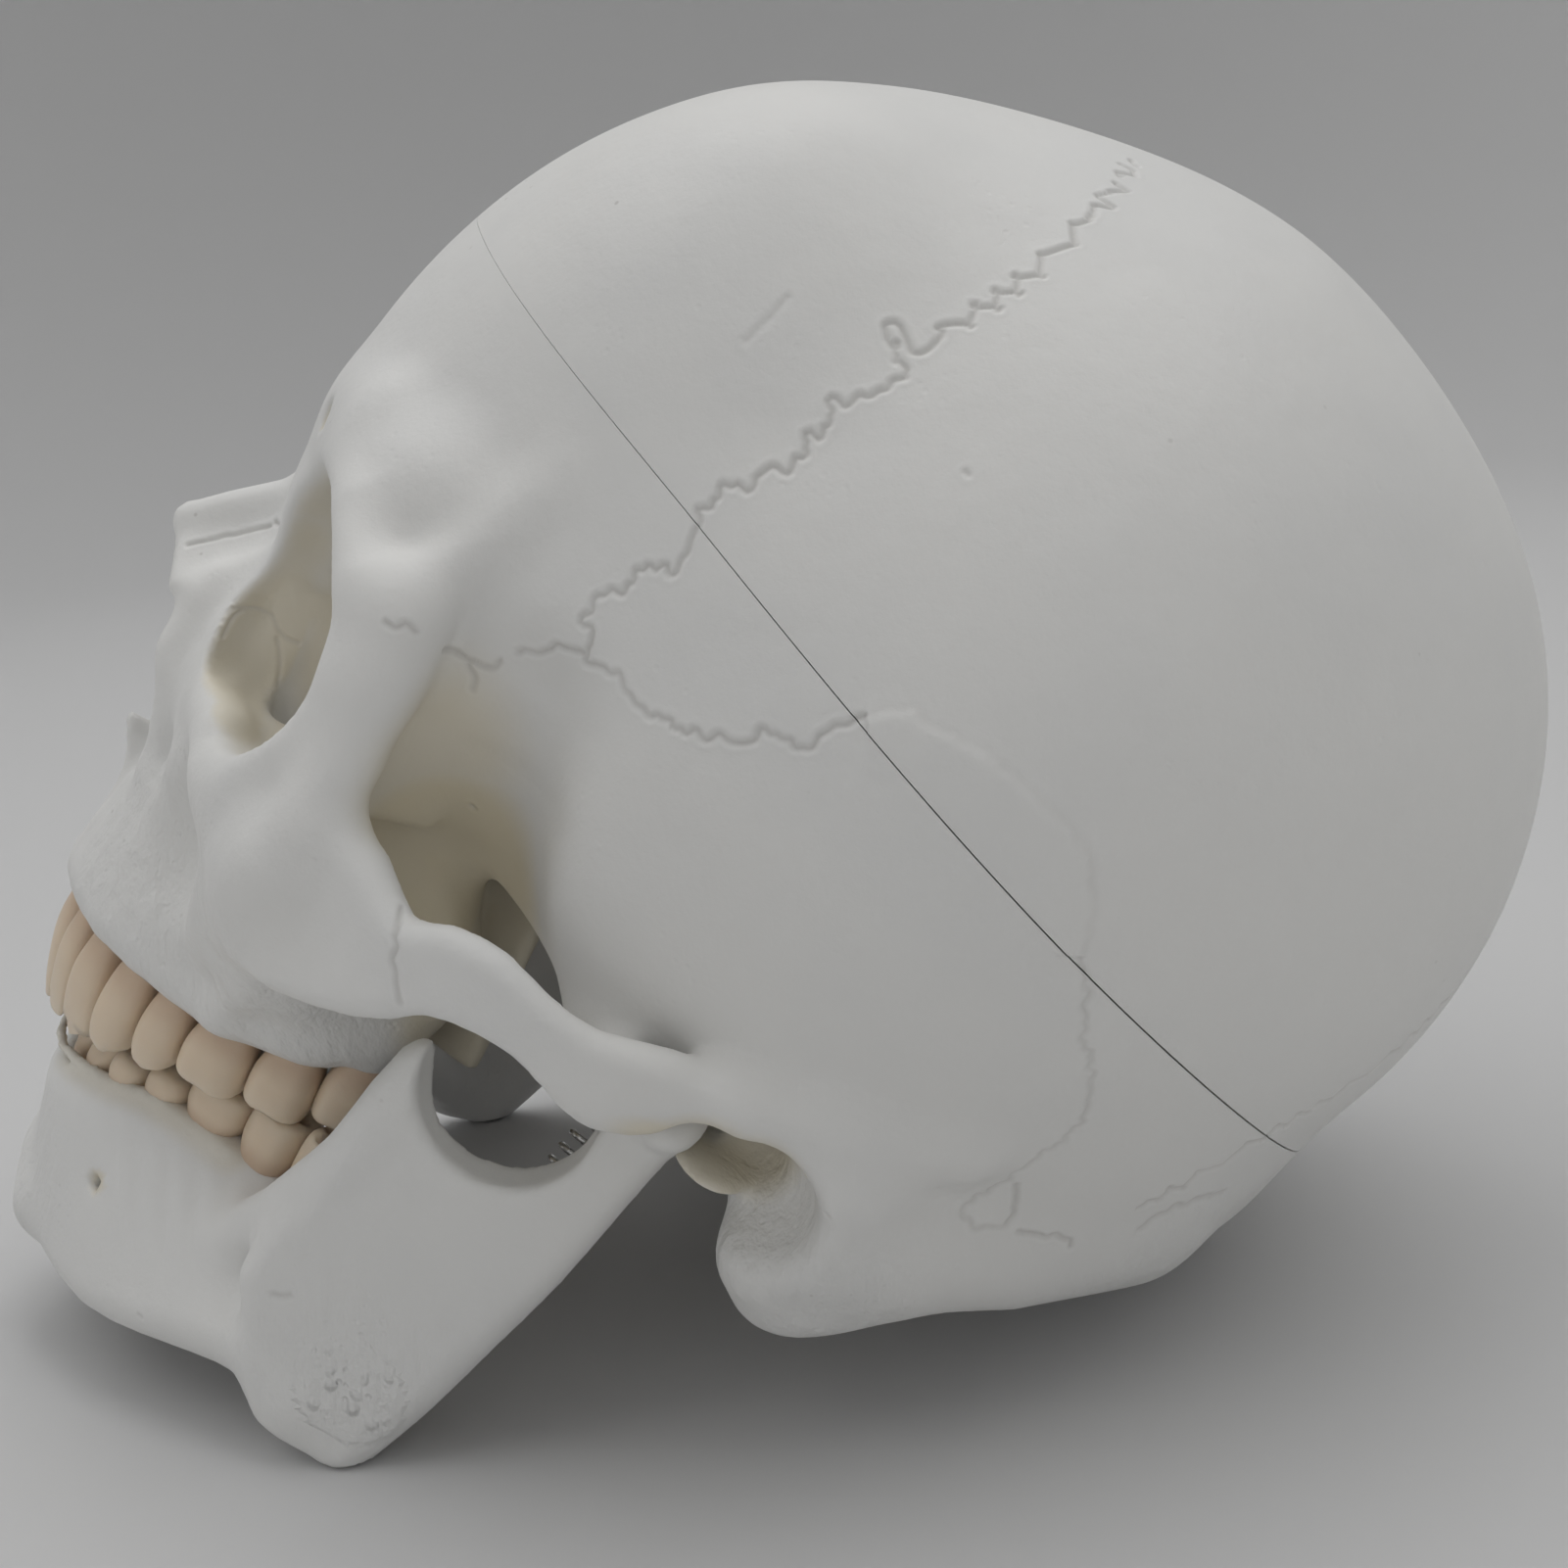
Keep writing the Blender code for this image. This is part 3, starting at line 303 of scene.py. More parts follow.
class Clay:
    """Distance field on a grid, to which forms are added and cut."""

    SETTLE_ROUNDS, SETTLE_SHARE = 2, 0.8  # rounds in which the mesh moves onto the surface, and how far in each

    def __init__(self, low: tuple, high: tuple, step: float) -> None:
        """Makes an empty field.

        Args:
            low: lowest corner.
            high: highest corner.
            step: spacing of the grid.
        """
        self.step = step
        self.axes = [np.arange(start, end, step, dtype=np.float32) for start, end in zip(low, high)]
        self.field = np.full([len(axis) for axis in self.axes], FAR, np.float32)

    def window(self, low: np.ndarray, high: np.ndarray) -> tuple[slice, ...]:
        """Part of the grid between two corners."""
        spans = []
        for axis, start, end in zip(self.axes, low, high):
            spans.append(slice(int(np.searchsorted(axis, start)), int(np.searchsorted(axis, end))))
        return tuple(spans)

    def places(self, window: tuple[slice, ...]) -> list[np.ndarray]:
        """Coordinates of a part of the grid, ready to be combined."""
        x, y, z = (axis[span] for axis, span in zip(self.axes, window))
        return [x[:, None, None], y[None, :, None], z[None, None, :]]

    def apply(self, form: "Ball | Rod | Sheet", cut: bool) -> None:
        """Adds a form to the field, or cuts it out."""
        low, high = form.reach()
        window = self.window(low - form.blend - 2 * self.step, high + form.blend + 2 * self.step)
        if any(span.stop <= span.start for span in window):
            return
        found = form.distance(*self.places(window)).astype(np.float32)
        if low[0] < form.blend and form != form.mirrored():
            other = form.mirrored().distance(*self.places(window)).astype(np.float32)
            found = smooth_least(found, other, 1.0)
        here = self.field[window]
        if cut:
            self.field[window] = -smooth_least(-here, found, form.blend)
        else:
            self.field[window] = smooth_least(here, found, form.blend)

    def add(self, *forms: "Ball | Rod | Sheet") -> None:
        """Adds forms in turn."""
        for form in forms:
            self.apply(form, cut=False)

    def cut(self, *forms: "Ball | Rod | Sheet") -> None:
        """Cuts forms out in turn."""
        for form in forms:
            self.apply(form, cut=True)

    def sampled(self, points: np.ndarray) -> np.ndarray:
        """Field at any places, with the half grid mirrored over the midline.

        Args:
            points: places, one to a line.

        Returns:
            Their distances.
        """
        spots = np.stack([np.abs(points[:, 0]), points[:, 1], points[:, 2]], 1)
        cells, shares = [], []
        for index, axis in enumerate(self.axes):
            along = np.clip((spots[:, index] - axis[0]) / self.step, 0, len(axis) - 1.001)
            cells.append(along.astype(int))
            shares.append(along - cells[-1])
        total = np.zeros(len(points))
        for corner in range(8):
            steps = [(corner >> index) & 1 for index in range(3)]
            weight = np.ones(len(points))
            for step, share in zip(steps, shares):
                weight = weight * (share if step else 1 - share)
            picked = tuple(cell + step for cell, step in zip(cells, steps))
            total += weight * self.field[picked]
        return total

    def mesh(self, drawn_in: float) -> tuple[np.ndarray, np.ndarray]:
        """Points and four-sided faces of the surface, both halves.

        Args:
            drawn_in: distance inside the field's zero at which the surface is taken.

        Returns:
            The points and the faces.
        """
        both = np.concatenate([self.field[:0:-1], self.field], 0)
        origin = np.array([-self.axes[0][-1], self.axes[1][0], self.axes[2][0]])
        grid = openvdb.FloatGrid(FAR)
        grid.copyFromArray(np.ascontiguousarray(both))
        points, faces = grid.convertToQuads(isovalue=-drawn_in)
        points = points * self.step + origin
        for _ in range(self.SETTLE_ROUNDS):
            points -= self.normals(points) * (self.sampled(points) + drawn_in)[:, None] * self.SETTLE_SHARE
        return points, faces

    def normals(self, points: np.ndarray) -> np.ndarray:
        """Ways out of the bone at some places."""
        ways = []
        for index in range(3):
            step = np.zeros(3)
            step[index] = 0.5 * self.step
            ways.append(self.sampled(points + step) - self.sampled(points - step))
        ways = np.stack(ways, 1)
        return ways / np.maximum(np.linalg.norm(ways, axis=1), 1e-9)[:, None]


@dataclass(frozen=True)
class Floor:
    """Half space of bone over a plane through the ears' axis, given by the plane's normal and offset."""

    normal: tuple
    offset: float
    blend: float = 8.0

    def distance(self, x: np.ndarray, y: np.ndarray, z: np.ndarray) -> np.ndarray:
        """Distance from the plane at a grid's places, negative on the bone's side."""
        return self.normal[0] * x + self.normal[1] * y + self.normal[2] * z - self.offset


@dataclass(frozen=True)
class Braincase:
    """The rounded vault of the skull and the hollow in it."""

    wall: float = 5.0
    rim: float = 1.5  # rounding where the hollow meets other forms
    vault: tuple = (
        Ball((0, 1.6, 41.7), (72.5, 58.6, 74.3), 0),
        Ball((0, -36.4, 31.9), (52, 56.1, 74), 25),
        Ball((0, 31.7, 44.2), (54, 45.1, 55.9), 20),
        Ball((0, 26.2, 4.4), (50, 41, 23.4), 15),
        Ball((30, -19, 12.4), (24.5, 30, 22), 12),
        Ball((24, -45.7, 66.1), (22, 23.8, 30.5), 15),
    )
    floors: tuple = (Floor((0, -0.33, -0.944), 16, 12), Floor((0, 0, -1), 23, 8))
    front_fossa: Floor = Floor((0, -0.06, -1), -37.0, 6)
    fossae: tuple = (
        Ball((32, -22, 24), (23, 24, 20), 8),
        Ball((0, 34, 18), (46, 36, 36), 8),
        Ball((0, 12, 33), (64, 58, 15), 8),
    )

    def outside(self, clay: Clay) -> np.ndarray:
        """Distance from the vault's outer surface over the whole grid.

        Args:
            clay: field whose grid is used.

        Returns:
            The distances.
        """
        places = clay.places((slice(None),) * 3)
        found = np.full_like(clay.field, FAR)
        for ball in self.vault:
            distance = ball.distance(*places).astype(np.float32)
            if ball.centre[0]:
                distance = smooth_least(distance, ball.mirrored().distance(*places), 1.0)
            found = smooth_least(found, distance, ball.blend)
        for floor in self.floors:
            found = -smooth_least(-found, -floor.distance(*places), floor.blend)
        return found.astype(np.float32)

    def hollow(self, clay: Clay, outside: np.ndarray) -> np.ndarray:
        """Distance from the hollow for the brain.

        Args:
            clay: field whose grid is used.
            outside: distance from the vault's outer surface.

        Returns:
            The distances, negative inside the hollow.
        """
        places = clay.places((slice(None),) * 3)
        inner = outside + self.wall
        room = -smooth_least(-inner, -self.front_fossa.distance(*places), self.front_fossa.blend)
        for fossa in self.fossae:
            room = smooth_least(room, fossa.distance(*places), fossa.blend)
        return -smooth_least(-room, -inner, 4).astype(np.float32)


@dataclass(frozen=True)
class Face:
    """Bony forms of the face, the cheek arch and the skull's floor."""

    brow: tuple = (
        Rod(((6, -83.5, 38, 4.5), (18, -83, 40, 4.5), (30, -79, 41.2, 4.5)), 7),
        Rod(((13, -80, 31, 3.5), (22, -81.5, 35, 3.5), (33, -79.5, 36, 3.8), (42, -75, 33.5, 4.2),
             (48.5, -70, 28, 4.5), (50.5, -65.5, 21, 4.5)), 5),
        Rod(((50, -66, 28, 3.8), (47.5, -61.5, 37, 3), (45.5, -56, 48, 2.2)), 5),
        Ball((0, -82, 39), (13, 7, 9), 7),
        Ball((24, -66, 40), (21, 14, 8), 7),
        Ball((36, -67.5, 38), (8.5, 7, 7), 7),
        Ball((28, -56, 22), (15, 20, 26), 6),
        Ball((0, -62, 14), (15, 24, 24), 6),
        Ball((0, -80, 30), (10, 7, 9), 6),
    )
    rims: tuple = (
        Rod(((24, -80.5, -7, 4), (31, -78, -7.5, 4.8), (38, -74, -6, 4.5)), 5),
        Rod(((9, -83, 26, 3.5), (12, -86, 12, 3.8), (15, -86, 0, 5), (18, -82, -12, 6.5)), 5),
        Rod(((14, -86, 6, 3.2), (22, -82.5, -2, 4), (32, -78, -4.5, 4.3), (41, -73, -1.5, 4.6),
             (46.5, -69, 7, 4.6), (49.5, -66.5, 18, 4.4)), 5),
        Rod(((51, -64.5, 27, 4.4), (51.5, -63, 20, 4.7), (51.5, -62.5, 10, 5.4), (50.5, -63.5, -4, 6)), 5),
        Ball((25, -62, -14), (18, 20, 20), 6),
        Ball((42, -67, -8), (10, 7, 11), 6),
        Rod(((31, -71.5, -5, 2.5), (34, -70.5, -10.5, 2.6), (37, -68.3, -16.5, 2.6), (39.5, -66.2, -20.3, 2.6),
             (42.5, -62.5, -20.3, 2.4), (47, -58, -18, 2.3), (53, -52.5, -14, 2.3), (58, -46.5, -9.5, 2.2)), 3),
        Rod(((38, -63.5, -23, 2.6), (34.5, -64.2, -28.5, 2.4), (29, -66, -36, 2)), 3),
    )
    nose: tuple = (
        Rod(((0, -85, 28, 4.2), (0, -91, 22, 3.6), (0, -98, 16.5, 3.2), (0, -102.5, 12.8, 2.6)), 3),
        Sheet(((0, -86, 28, 3), (0, -91.5, 21, 2.7), (0, -98, 15.5, 2.6), (0, -102.5, 12.2, 2.3)),
              ((8, -83, 26, 3), (9, -86, 16, 2.6), (9.5, -91, 8, 2.3), (8, -98.5, 6, 2)), 2.5),
        Sheet(((9, -86, 16, 2.6), (8.5, -95, 7, 2.2), (10.5, -94, -2, 2.6)),
              ((11, -85, 12, 3), (15, -85, 2, 3.6), (15, -86.5, -6, 4)), 3),
        Rod(((8.5, -93, 9, 2.2), (10.5, -95, -1, 2.5), (12, -91.5, -9, 3), (11.5, -89.5, -16, 3.4)), 3),
    )
    arch: Sheet = Sheet(
        ((52, -62, 2, 4), (55.5, -56, 1, 3.6), (60, -49, -2, 2.9), (63, -43.5, 1, 2.6), (65, -38, 1.8, 2.5),
         (66, -32, 0.2, 2.4), (65.8, -25, -1, 2.6), (64.5, -17, 0, 3), (62.5, -8, -0.5, 3.2)),
        ((43.5, -65, -17, 3.8), (49, -60, -16, 3.6), (57.5, -50.5, -11, 3.2), (62.3, -43, -5.5, 2.6),
         (64.5, -37, -3.8, 2.5), (65.5, -31, -3.9, 2.5), (65, -24.5, -6, 3), (63, -18, -6, 3.4), (61.5, -9, -2, 3.2)),
        4,
    )
    tooth_ridge: Sheet = Sheet(
        ((0, -89, -20, 6.5), (8.3, -87, -20, 6.5), (15.2, -82.5, -20, 6.5), (19.8, -76, -20, 6.5),
         (23, -67.5, -20, 6.5), (25, -59.5, -20, 6.5), (26, -51, -20, 6.5), (26, -44.5, -18, 6.5)),
        ((0, -94, -37, 4.8), (9, -90.8, -36, 5), (16.5, -85, -35.5, 5), (21.5, -78, -35, 5),
         (25, -69.5, -35, 5), (27, -61.5, -34, 5), (28, -53, -32, 5), (27.5, -46, -27, 5)),
        4,
    )
    palate: tuple = (Ball((0, -66, -27), (24, 24, 3.5), 3), Ball((0, -79, -26), (16, 11, 8), 4))
    under: tuple = (
        Rod(((0, -36, 0, 13), (0, -8, -14, 9)), 8),
        Rod(((46, 8, -8, 10.5), (12, -14, -8, 8)), 6),
        Rod(((54.5, 7, -4, 11), (52, 9, -13, 10.5), (50, 11.5, -19, 9)), 6),
        Rod(((53.2, 6, -19.2, 6.7), (51, 8.8, -22, 6.6)), 3),
        Rod(((50, 20, -11, 9), (44, 32, -8, 8.5), (36, 46, -1, 8)), 8),
        Rod(((62, -8, 0, 3.6), (61.5, 4, 3, 3.4), (59, 18, 6, 3)), 5),
        Rod(((62, -22, -5, 4.2), (42, -25, -5, 4.5)), 4),
        Ball((15, 8, -23), (6, 11, 6), 3),
        Ball((0, 64, -6), (7, 5, 6), 8),
        Sheet(((12, -46, -6, 4), (20, -36, -8, 1.8)), ((13, -46, -30, 3), (22, -35, -29, 1.8)), 3),
        Sheet(((11, -46, -6, 4), (11, -37, -8, 1.8)), ((12, -46, -32, 3), (12, -36, -31, 1.8)), 2),
    )
    orbit: tuple = (
        Ball((31, -75, 16.5), (18, 20, 17), 3, (-20, 0, 0)),
        Rod(((29.5, -74, 17, 16), (24.5, -62, 17, 12.5), (17, -50, 16, 5)), 4),
        Rod(((19.5, -82.5, 19, 6), (19, -84.3, 10, 6.4), (20, -83, 5.4, 6.2), (26.5, -79, 6.4, 6.2)), 1.2),
    )
    orbit_walls: tuple = (
        Sheet(((12, -84, 14, 1.2), (11.5, -64, 14, 1.4)), ((12.3, -83, -7, 1.8), (13, -64, -7, 2)), 2.5),
        Rod(((14.5, -86, -1.4, 2.4), (18.5, -85.4, -2.6, 2.8), (23, -83.4, -2.2, 3), (28.5, -81, -1.6, 3)), 4),
        Sheet(((46.5, -64, 28, 1.6), (41, -54, 28, 1.6)), ((46, -64, 3, 1.6), (40, -54, 4, 1.6)), 3),
    )
    joint_socket: Ball = Ball((50, -12, -7.5), (12, 7, 7.5), 3)
    ear_hollows: tuple = (
        Rod(((72, -9, -8, 5.2), (53, -7.5, -9, 4.4)), 1.5),
        Rod(((72, -3.5, -7.5, 5.0), (52, -2.5, -9, 4.2)), 1.5),
        Rod(((72, -4.3, -14.5, 4.6), (55, -4.1, -14.2, 4.4)), 3),
        Ball((61, 1.5, -11), (6.5, 5, 6), 4),
    )
    dents: tuple = (
        Ball((30, -83, -18.5), (7.5, 8.5, 10), 5),
        Ball((21.5, -86.8, 37.8), (1.1, 2.2, 1.5), 0.8),
        Ball((0, 16, -24), (15, 18, 22), 2),
    )
    nose_hollows: tuple = (
        Rod(((0, -100, 2, 6.2), (0, -100, -8, 9.2), (0, -98, -12, 9.6)), 2),
        Ball((0, -74, -10), (11.2, 34, 12.5), 3),
        Rod(((0, -90, 6, 5.5), (0, -60, 4, 5.5)), 3),
        Rod(((6, -52, -14, 6), (6, -34, -14, 7)), 2),
        Rod(((6, -52, -20, 5.5), (6, -34, -20, 7)), 2),
    )
    temple: tuple = (
        Rod(((55.5, -49.5, 24, 4), (52, -48.5, 13, 6.5), (48, -46.8, -1, 8.2), (45, -45, -20, 8.5)), 11),
        Rod(((49, -53.5, 7, 4.5), (45.5, -52.5, -3, 7.5), (41, -50, -14, 9)), 3),
    )
    ear: tuple = (
        Rod(((65, -18.4, -3.8, 1.9), (64, -10.7, -0.4, 1.8), (63, -6.1, 0.3, 1.8), (61, -2.1, -0.3, 1.8),
             (59, 0.3, -1.5, 1.7), (57.4, 2.6, -4, 1.6)), 1.5),
        Ball((50, -5, -13.4), (7, 5.5, 1.9), 2),
    )
    inner_nose: tuple = (
        Sheet(((0, -84, 8, 1.1), (0, -40, 2, 1.1)), ((0, -88, -24, 1.1), (0, -40, -24, 1.1)), 1),
        Rod(((0, -86, -22, 4), (0, -94, -19.5, 2.4), (0, -97.2, -18.4, 1.4)), 3),
        Rod(((0, -90, -16.8, 2.2), (0, -95, -16.6, 1.4), (0, -99.2, -16.6, 0.7)), 1),
        Rod(((0, -98.9, -17, 0.8), (0, -97.2, -21, 1.0), (0, -95.4, -26, 1.5), (0, -94.4, -31, 2.2)), 2),
        Ball((9, -70, -12), (4, 15, 3), 2, (0, 0, -20)),
        Ball((8, -66, 1), (3.4, 14, 3), 2, (0, 0, -20)),
    )


@dataclass(frozen=True)
class JawForms:
    """Bony forms of the lower jaw."""

    body: Sheet = Sheet(
        ((0, -84.5, -66.5, 4), (8, -83, -66, 4), (14, -79, -64, 4.2), (18, -73.5, -61.5, 4.6),
         (21, -66, -59, 5), (24, -58, -58, 5.2), (27.5, -50, -58, 5.2), (31.8, -44, -59, 5.6)),
        ((0, -79.3, -83.4, 6), (8, -76.9, -83, 6), (16, -71.5, -82, 5.8), (25, -64, -79.5, 5.6),
         (32, -56.5, -75, 5.2), (38, -49, -70, 5), (43, -41.5, -66.8, 4.6), (47, -34, -68, 4.2)),
        0,
    )
    ramus: Sheet = Sheet(
        ((48.3, -40, -19, 2.2), (48, -41.5, -26, 2.5), (47.5, -41.5, -35, 2.8), (46.5, -42.5, -45, 3),
         (45.5, -45, -56, 3.3), (47, -36, -70, 3.2)),
        ((50, -12.5, -13, 3.6), (50.3, -14.5, -22, 3.8), (50.3, -16.8, -35, 3.8), (50, -19.8, -47, 3.8),
         (49.8, -22.8, -59, 3.7), (49.5, -26.2, -70, 3.4)),
        4,
    )
    ridges: tuple = (
        Rod(((0, -81.2, -82, 5.4), (10, -78, -84, 5)), 4),
        Rod(((47.5, -40, -21, 2.6), (45.5, -43, -36, 3.2), (41, -47, -50, 3.8), (34, -50, -60, 4.4)), 4),
        Rod(((48.6, -41.6, -20, 1.2), (48, -42, -28, 1.4), (46.8, -42.5, -36, 1.6), (43.5, -46, -48, 1.8),
             (39, -46.8, -54, 2.2), (35, -49, -59, 2.4), (32, -52.5, -62, 2.4), (29.5, -56.5, -64.5, 2.2),
             (28, -60.5, -67, 1.8)), 1.6),
    )
    lip: Rod = Rod(((0, -89.2, -61.5, 1.0), (6, -88, -61.5, 1.0), (10, -86, -61.2, 1.0), (14, -81.8, -60, 1.0),
                    (18.5, -75.8, -57.9, 1.0), (21.5, -70.7, -55.2, 1.0), (24.5, -63.2, -54.4, 1.0),
                    (27.5, -56.8, -54.3, 1.0)), 1.2)
    notch: Rod = Rod(((50, -29.4, -17.4, 10.8), (50, -29.4, -8, 10.8)), 1.2)
    condyle: Ball = Ball((50, -12.5, -9), (10, 5, 5), 3)
    foramen: Rod = Rod(((29, -75, -68, 0.9), (23, -69, -68.5, 0.8)), 0.6)


@dataclass(frozen=True)
class Viewpoint:
    """Camera of the photograph, in the anatomical frame."""

    place: tuple = (240.2, -39.7, 74.6)
    forward: tuple = (-0.969, 0.102, -0.223)
    up: tuple = (-0.245, -0.472, 0.847)
    focal: float = 1800.0  # in pixels of the photograph
    sensor: float = 36.0

    def axes(self) -> Matrix:
        """Right, up and backward ways of the camera, as columns."""
        back = -Vector(self.forward).normalized()
        right = Vector(self.up).cross(back).normalized()
        return Matrix((right, back.cross(right), back)).transposed()

    def ray(self, pixel: tuple) -> Vector:
        """Way from the camera through a pixel of the photograph.

        Args:
            pixel: place in the photograph, right and down from its corner.

        Returns:
            The way, in the anatomical frame.
        """
        half = PHOTO_SIDE / 2
        return (self.axes() @ Vector((pixel[0] - half, half - pixel[1], -self.focal))).normalized()

    def build(self) -> bpy.types.Object:
        """Makes the scene's camera.

        Returns:
            The camera.
        """
        camera = bpy.data.objects.new("camera", bpy.data.cameras.new("camera"))
        bpy.context.collection.objects.link(camera)
        camera.data.lens = self.sensor * self.focal / PHOTO_SIDE
        camera.data.sensor_width = self.sensor
        camera.data.clip_start = 0.01
        turned = Matrix.Rotation(REST.turn, 3, "X") @ self.axes()
        camera.matrix_world = Matrix.Translation(REST.matrix() @ Vector(self.place)) @ turned.to_4x4()
        bpy.context.scene.camera = camera
        return camera


VIEWPOINT = Viewpoint()


class Shade:
    """Socket of a shader graph that sums can be written with."""

    def __init__(self, graph: "Graph", socket: bpy.types.NodeSocket) -> None:
        """Wraps a socket.

        Args:
            graph: graph that the socket belongs to.
            socket: the socket.
        """
        self.graph = graph
        self.socket = socket

    def math(self, operation: str, *inputs: object, clamp: bool = False) -> "Shade":
        """Result of a Math node.

        Args:
            operation: the node's operation.
            inputs: its inputs in order.
            clamp: whether the result is held between 0 and 1.

        Returns:
            The result.
        """
        settings = {"operation": operation, "use_clamp": clamp}
        node = self.graph.node("ShaderNodeMath", settings, dict(enumerate(inputs)))
        return Shade(self.graph, node.outputs[0])

    def __add__(self, other: object) -> "Shade":
        """Sum."""
        return self.math("ADD", self, other)

    def __radd__(self, other: object) -> "Shade":
        """Sum, written the other way round."""
        return self.math("ADD", other, self)

    def __rsub__(self, other: object) -> "Shade":
        """Difference, written the other way round."""
        return self.math("SUBTRACT", other, self)

    def __mul__(self, other: object) -> "Shade":
        """Product."""
        return self.math("MULTIPLY", self, other)

    def __rmul__(self, other: object) -> "Shade":
        """Product, written the other way round."""
        return self.math("MULTIPLY", other, self)

    def ramp(self, low: float, high: float) -> "Shade":
        """Share of the way from one value to another, eased and held between 0 and 1.

        Args:
            low: value that gives 0.
            high: value that gives 1.

        Returns:
            The share.
        """
        settings = {"interpolation_type": "SMOOTHSTEP"}
        node = self.graph.node("ShaderNodeMapRange", settings, {"Value": self, "From Min": low, "From Max": high})
        return Shade(self.graph, node.outputs[0])


class Graph:
    """Shader graph of one material."""

    def __init__(self, name: str) -> None:
        """Makes a material with a Principled shader.

        Args:
            name: name of the material.
        """
        self.material = bpy.data.materials.new(name)
        self.material.use_nodes = True
        self.tree = self.material.node_tree
        self.shader = self.tree.nodes["Principled BSDF"]
        self.places = Shade(self, self.node("ShaderNodeTexCoord", {}, {}).outputs["Object"])

    def node(self, kind: str, settings: dict, inputs: dict) -> bpy.types.Node:
        """Adds a node.

        Args:
            kind: type of the node.
            settings: its properties.
            inputs: values or Shades for its sockets, by name or number.

        Returns:
            The node.
        """
        node = self.tree.nodes.new(kind)
        for name, value in settings.items():
            setattr(node, name, value)
        for name, value in inputs.items():
            self.feed(node.inputs[name], value)
        return node

    def feed(self, socket: bpy.types.NodeSocket, value: object) -> None:
        """Links a Shade to a socket, or sets its value."""
        if isinstance(value, Shade):
            self.tree.links.new(value.socket, socket)
        else:
            socket.default_value = value

    def attribute(self, name: str) -> Shade:
        """Value stored on the mesh's points."""
        return Shade(self, self.node("ShaderNodeAttribute", {"attribute_name": name}, {}).outputs["Fac"])

    def noise(self, size: float, detail: float = 3.0, roughness: float = 0.5, stretch: tuple = (1, 1, 1)) -> Shade:
        """Noise over the surface.

        Args:
            size: size of its lumps, in millimetres.
            detail: how many finer layers it has.
            roughness: how strong these are.
            stretch: how much finer it is along each axis.

        Returns:
            The noise, round about a half.
        """
        scale = self.node("ShaderNodeMapping", {}, {"Vector": self.places, "Scale": stretch})
        inputs = {"Vector": Shade(self, scale.outputs[0]), "Scale": 1 / (size * MM), "Detail": detail}
        node = self.node("ShaderNodeTexNoise", {}, inputs | {"Roughness": roughness})
        return Shade(self, node.outputs["Fac"])

    def cells(self, size: float) -> Shade:
        """Distance to the nearest of many scattered spots, in parts of their spacing.

        Args:
            size: spacing of the spots, in millimetres.

        Returns:
            The distance.
        """
        node = self.node("ShaderNodeTexVoronoi", {}, {"Vector": self.places, "Scale": 1 / (size * MM)})
        return Shade(self, node.outputs["Distance"])

    def mix(self, first: object, second: object, share: object) -> Shade:
        """Mix of two colours.

        Args:
            first: colour at share 0.
            second: colour at share 1.
            share: the share.

        Returns:
            The colour.
        """
        node = self.node("ShaderNodeMix", {"data_type": "RGBA"}, {0: share, 6: first, 7: second})
        return Shade(self, node.outputs[2])

    def bump(self, height: Shade, depth: float, under: Shade | None = None) -> Shade:
        """Normal of a surface with a relief.

        Args:
            height: height of the relief, from 0 to 1.
            depth: its depth in millimetres.
            under: normal of a coarser relief below it.

        Returns:
            The normal.
        """
        inputs = {"Height": height, "Distance": depth * MM, "Strength": 1.0}
        if under:
            inputs["Normal"] = under
        return Shade(self, self.node("ShaderNodeBump", {}, inputs).outputs[0])

    def finish(self, inputs: dict) -> bpy.types.Material:
        """Feeds the shader and hands over the material."""
        for name, value in inputs.items():
            self.feed(self.shader.inputs[name], value)
        return self.material


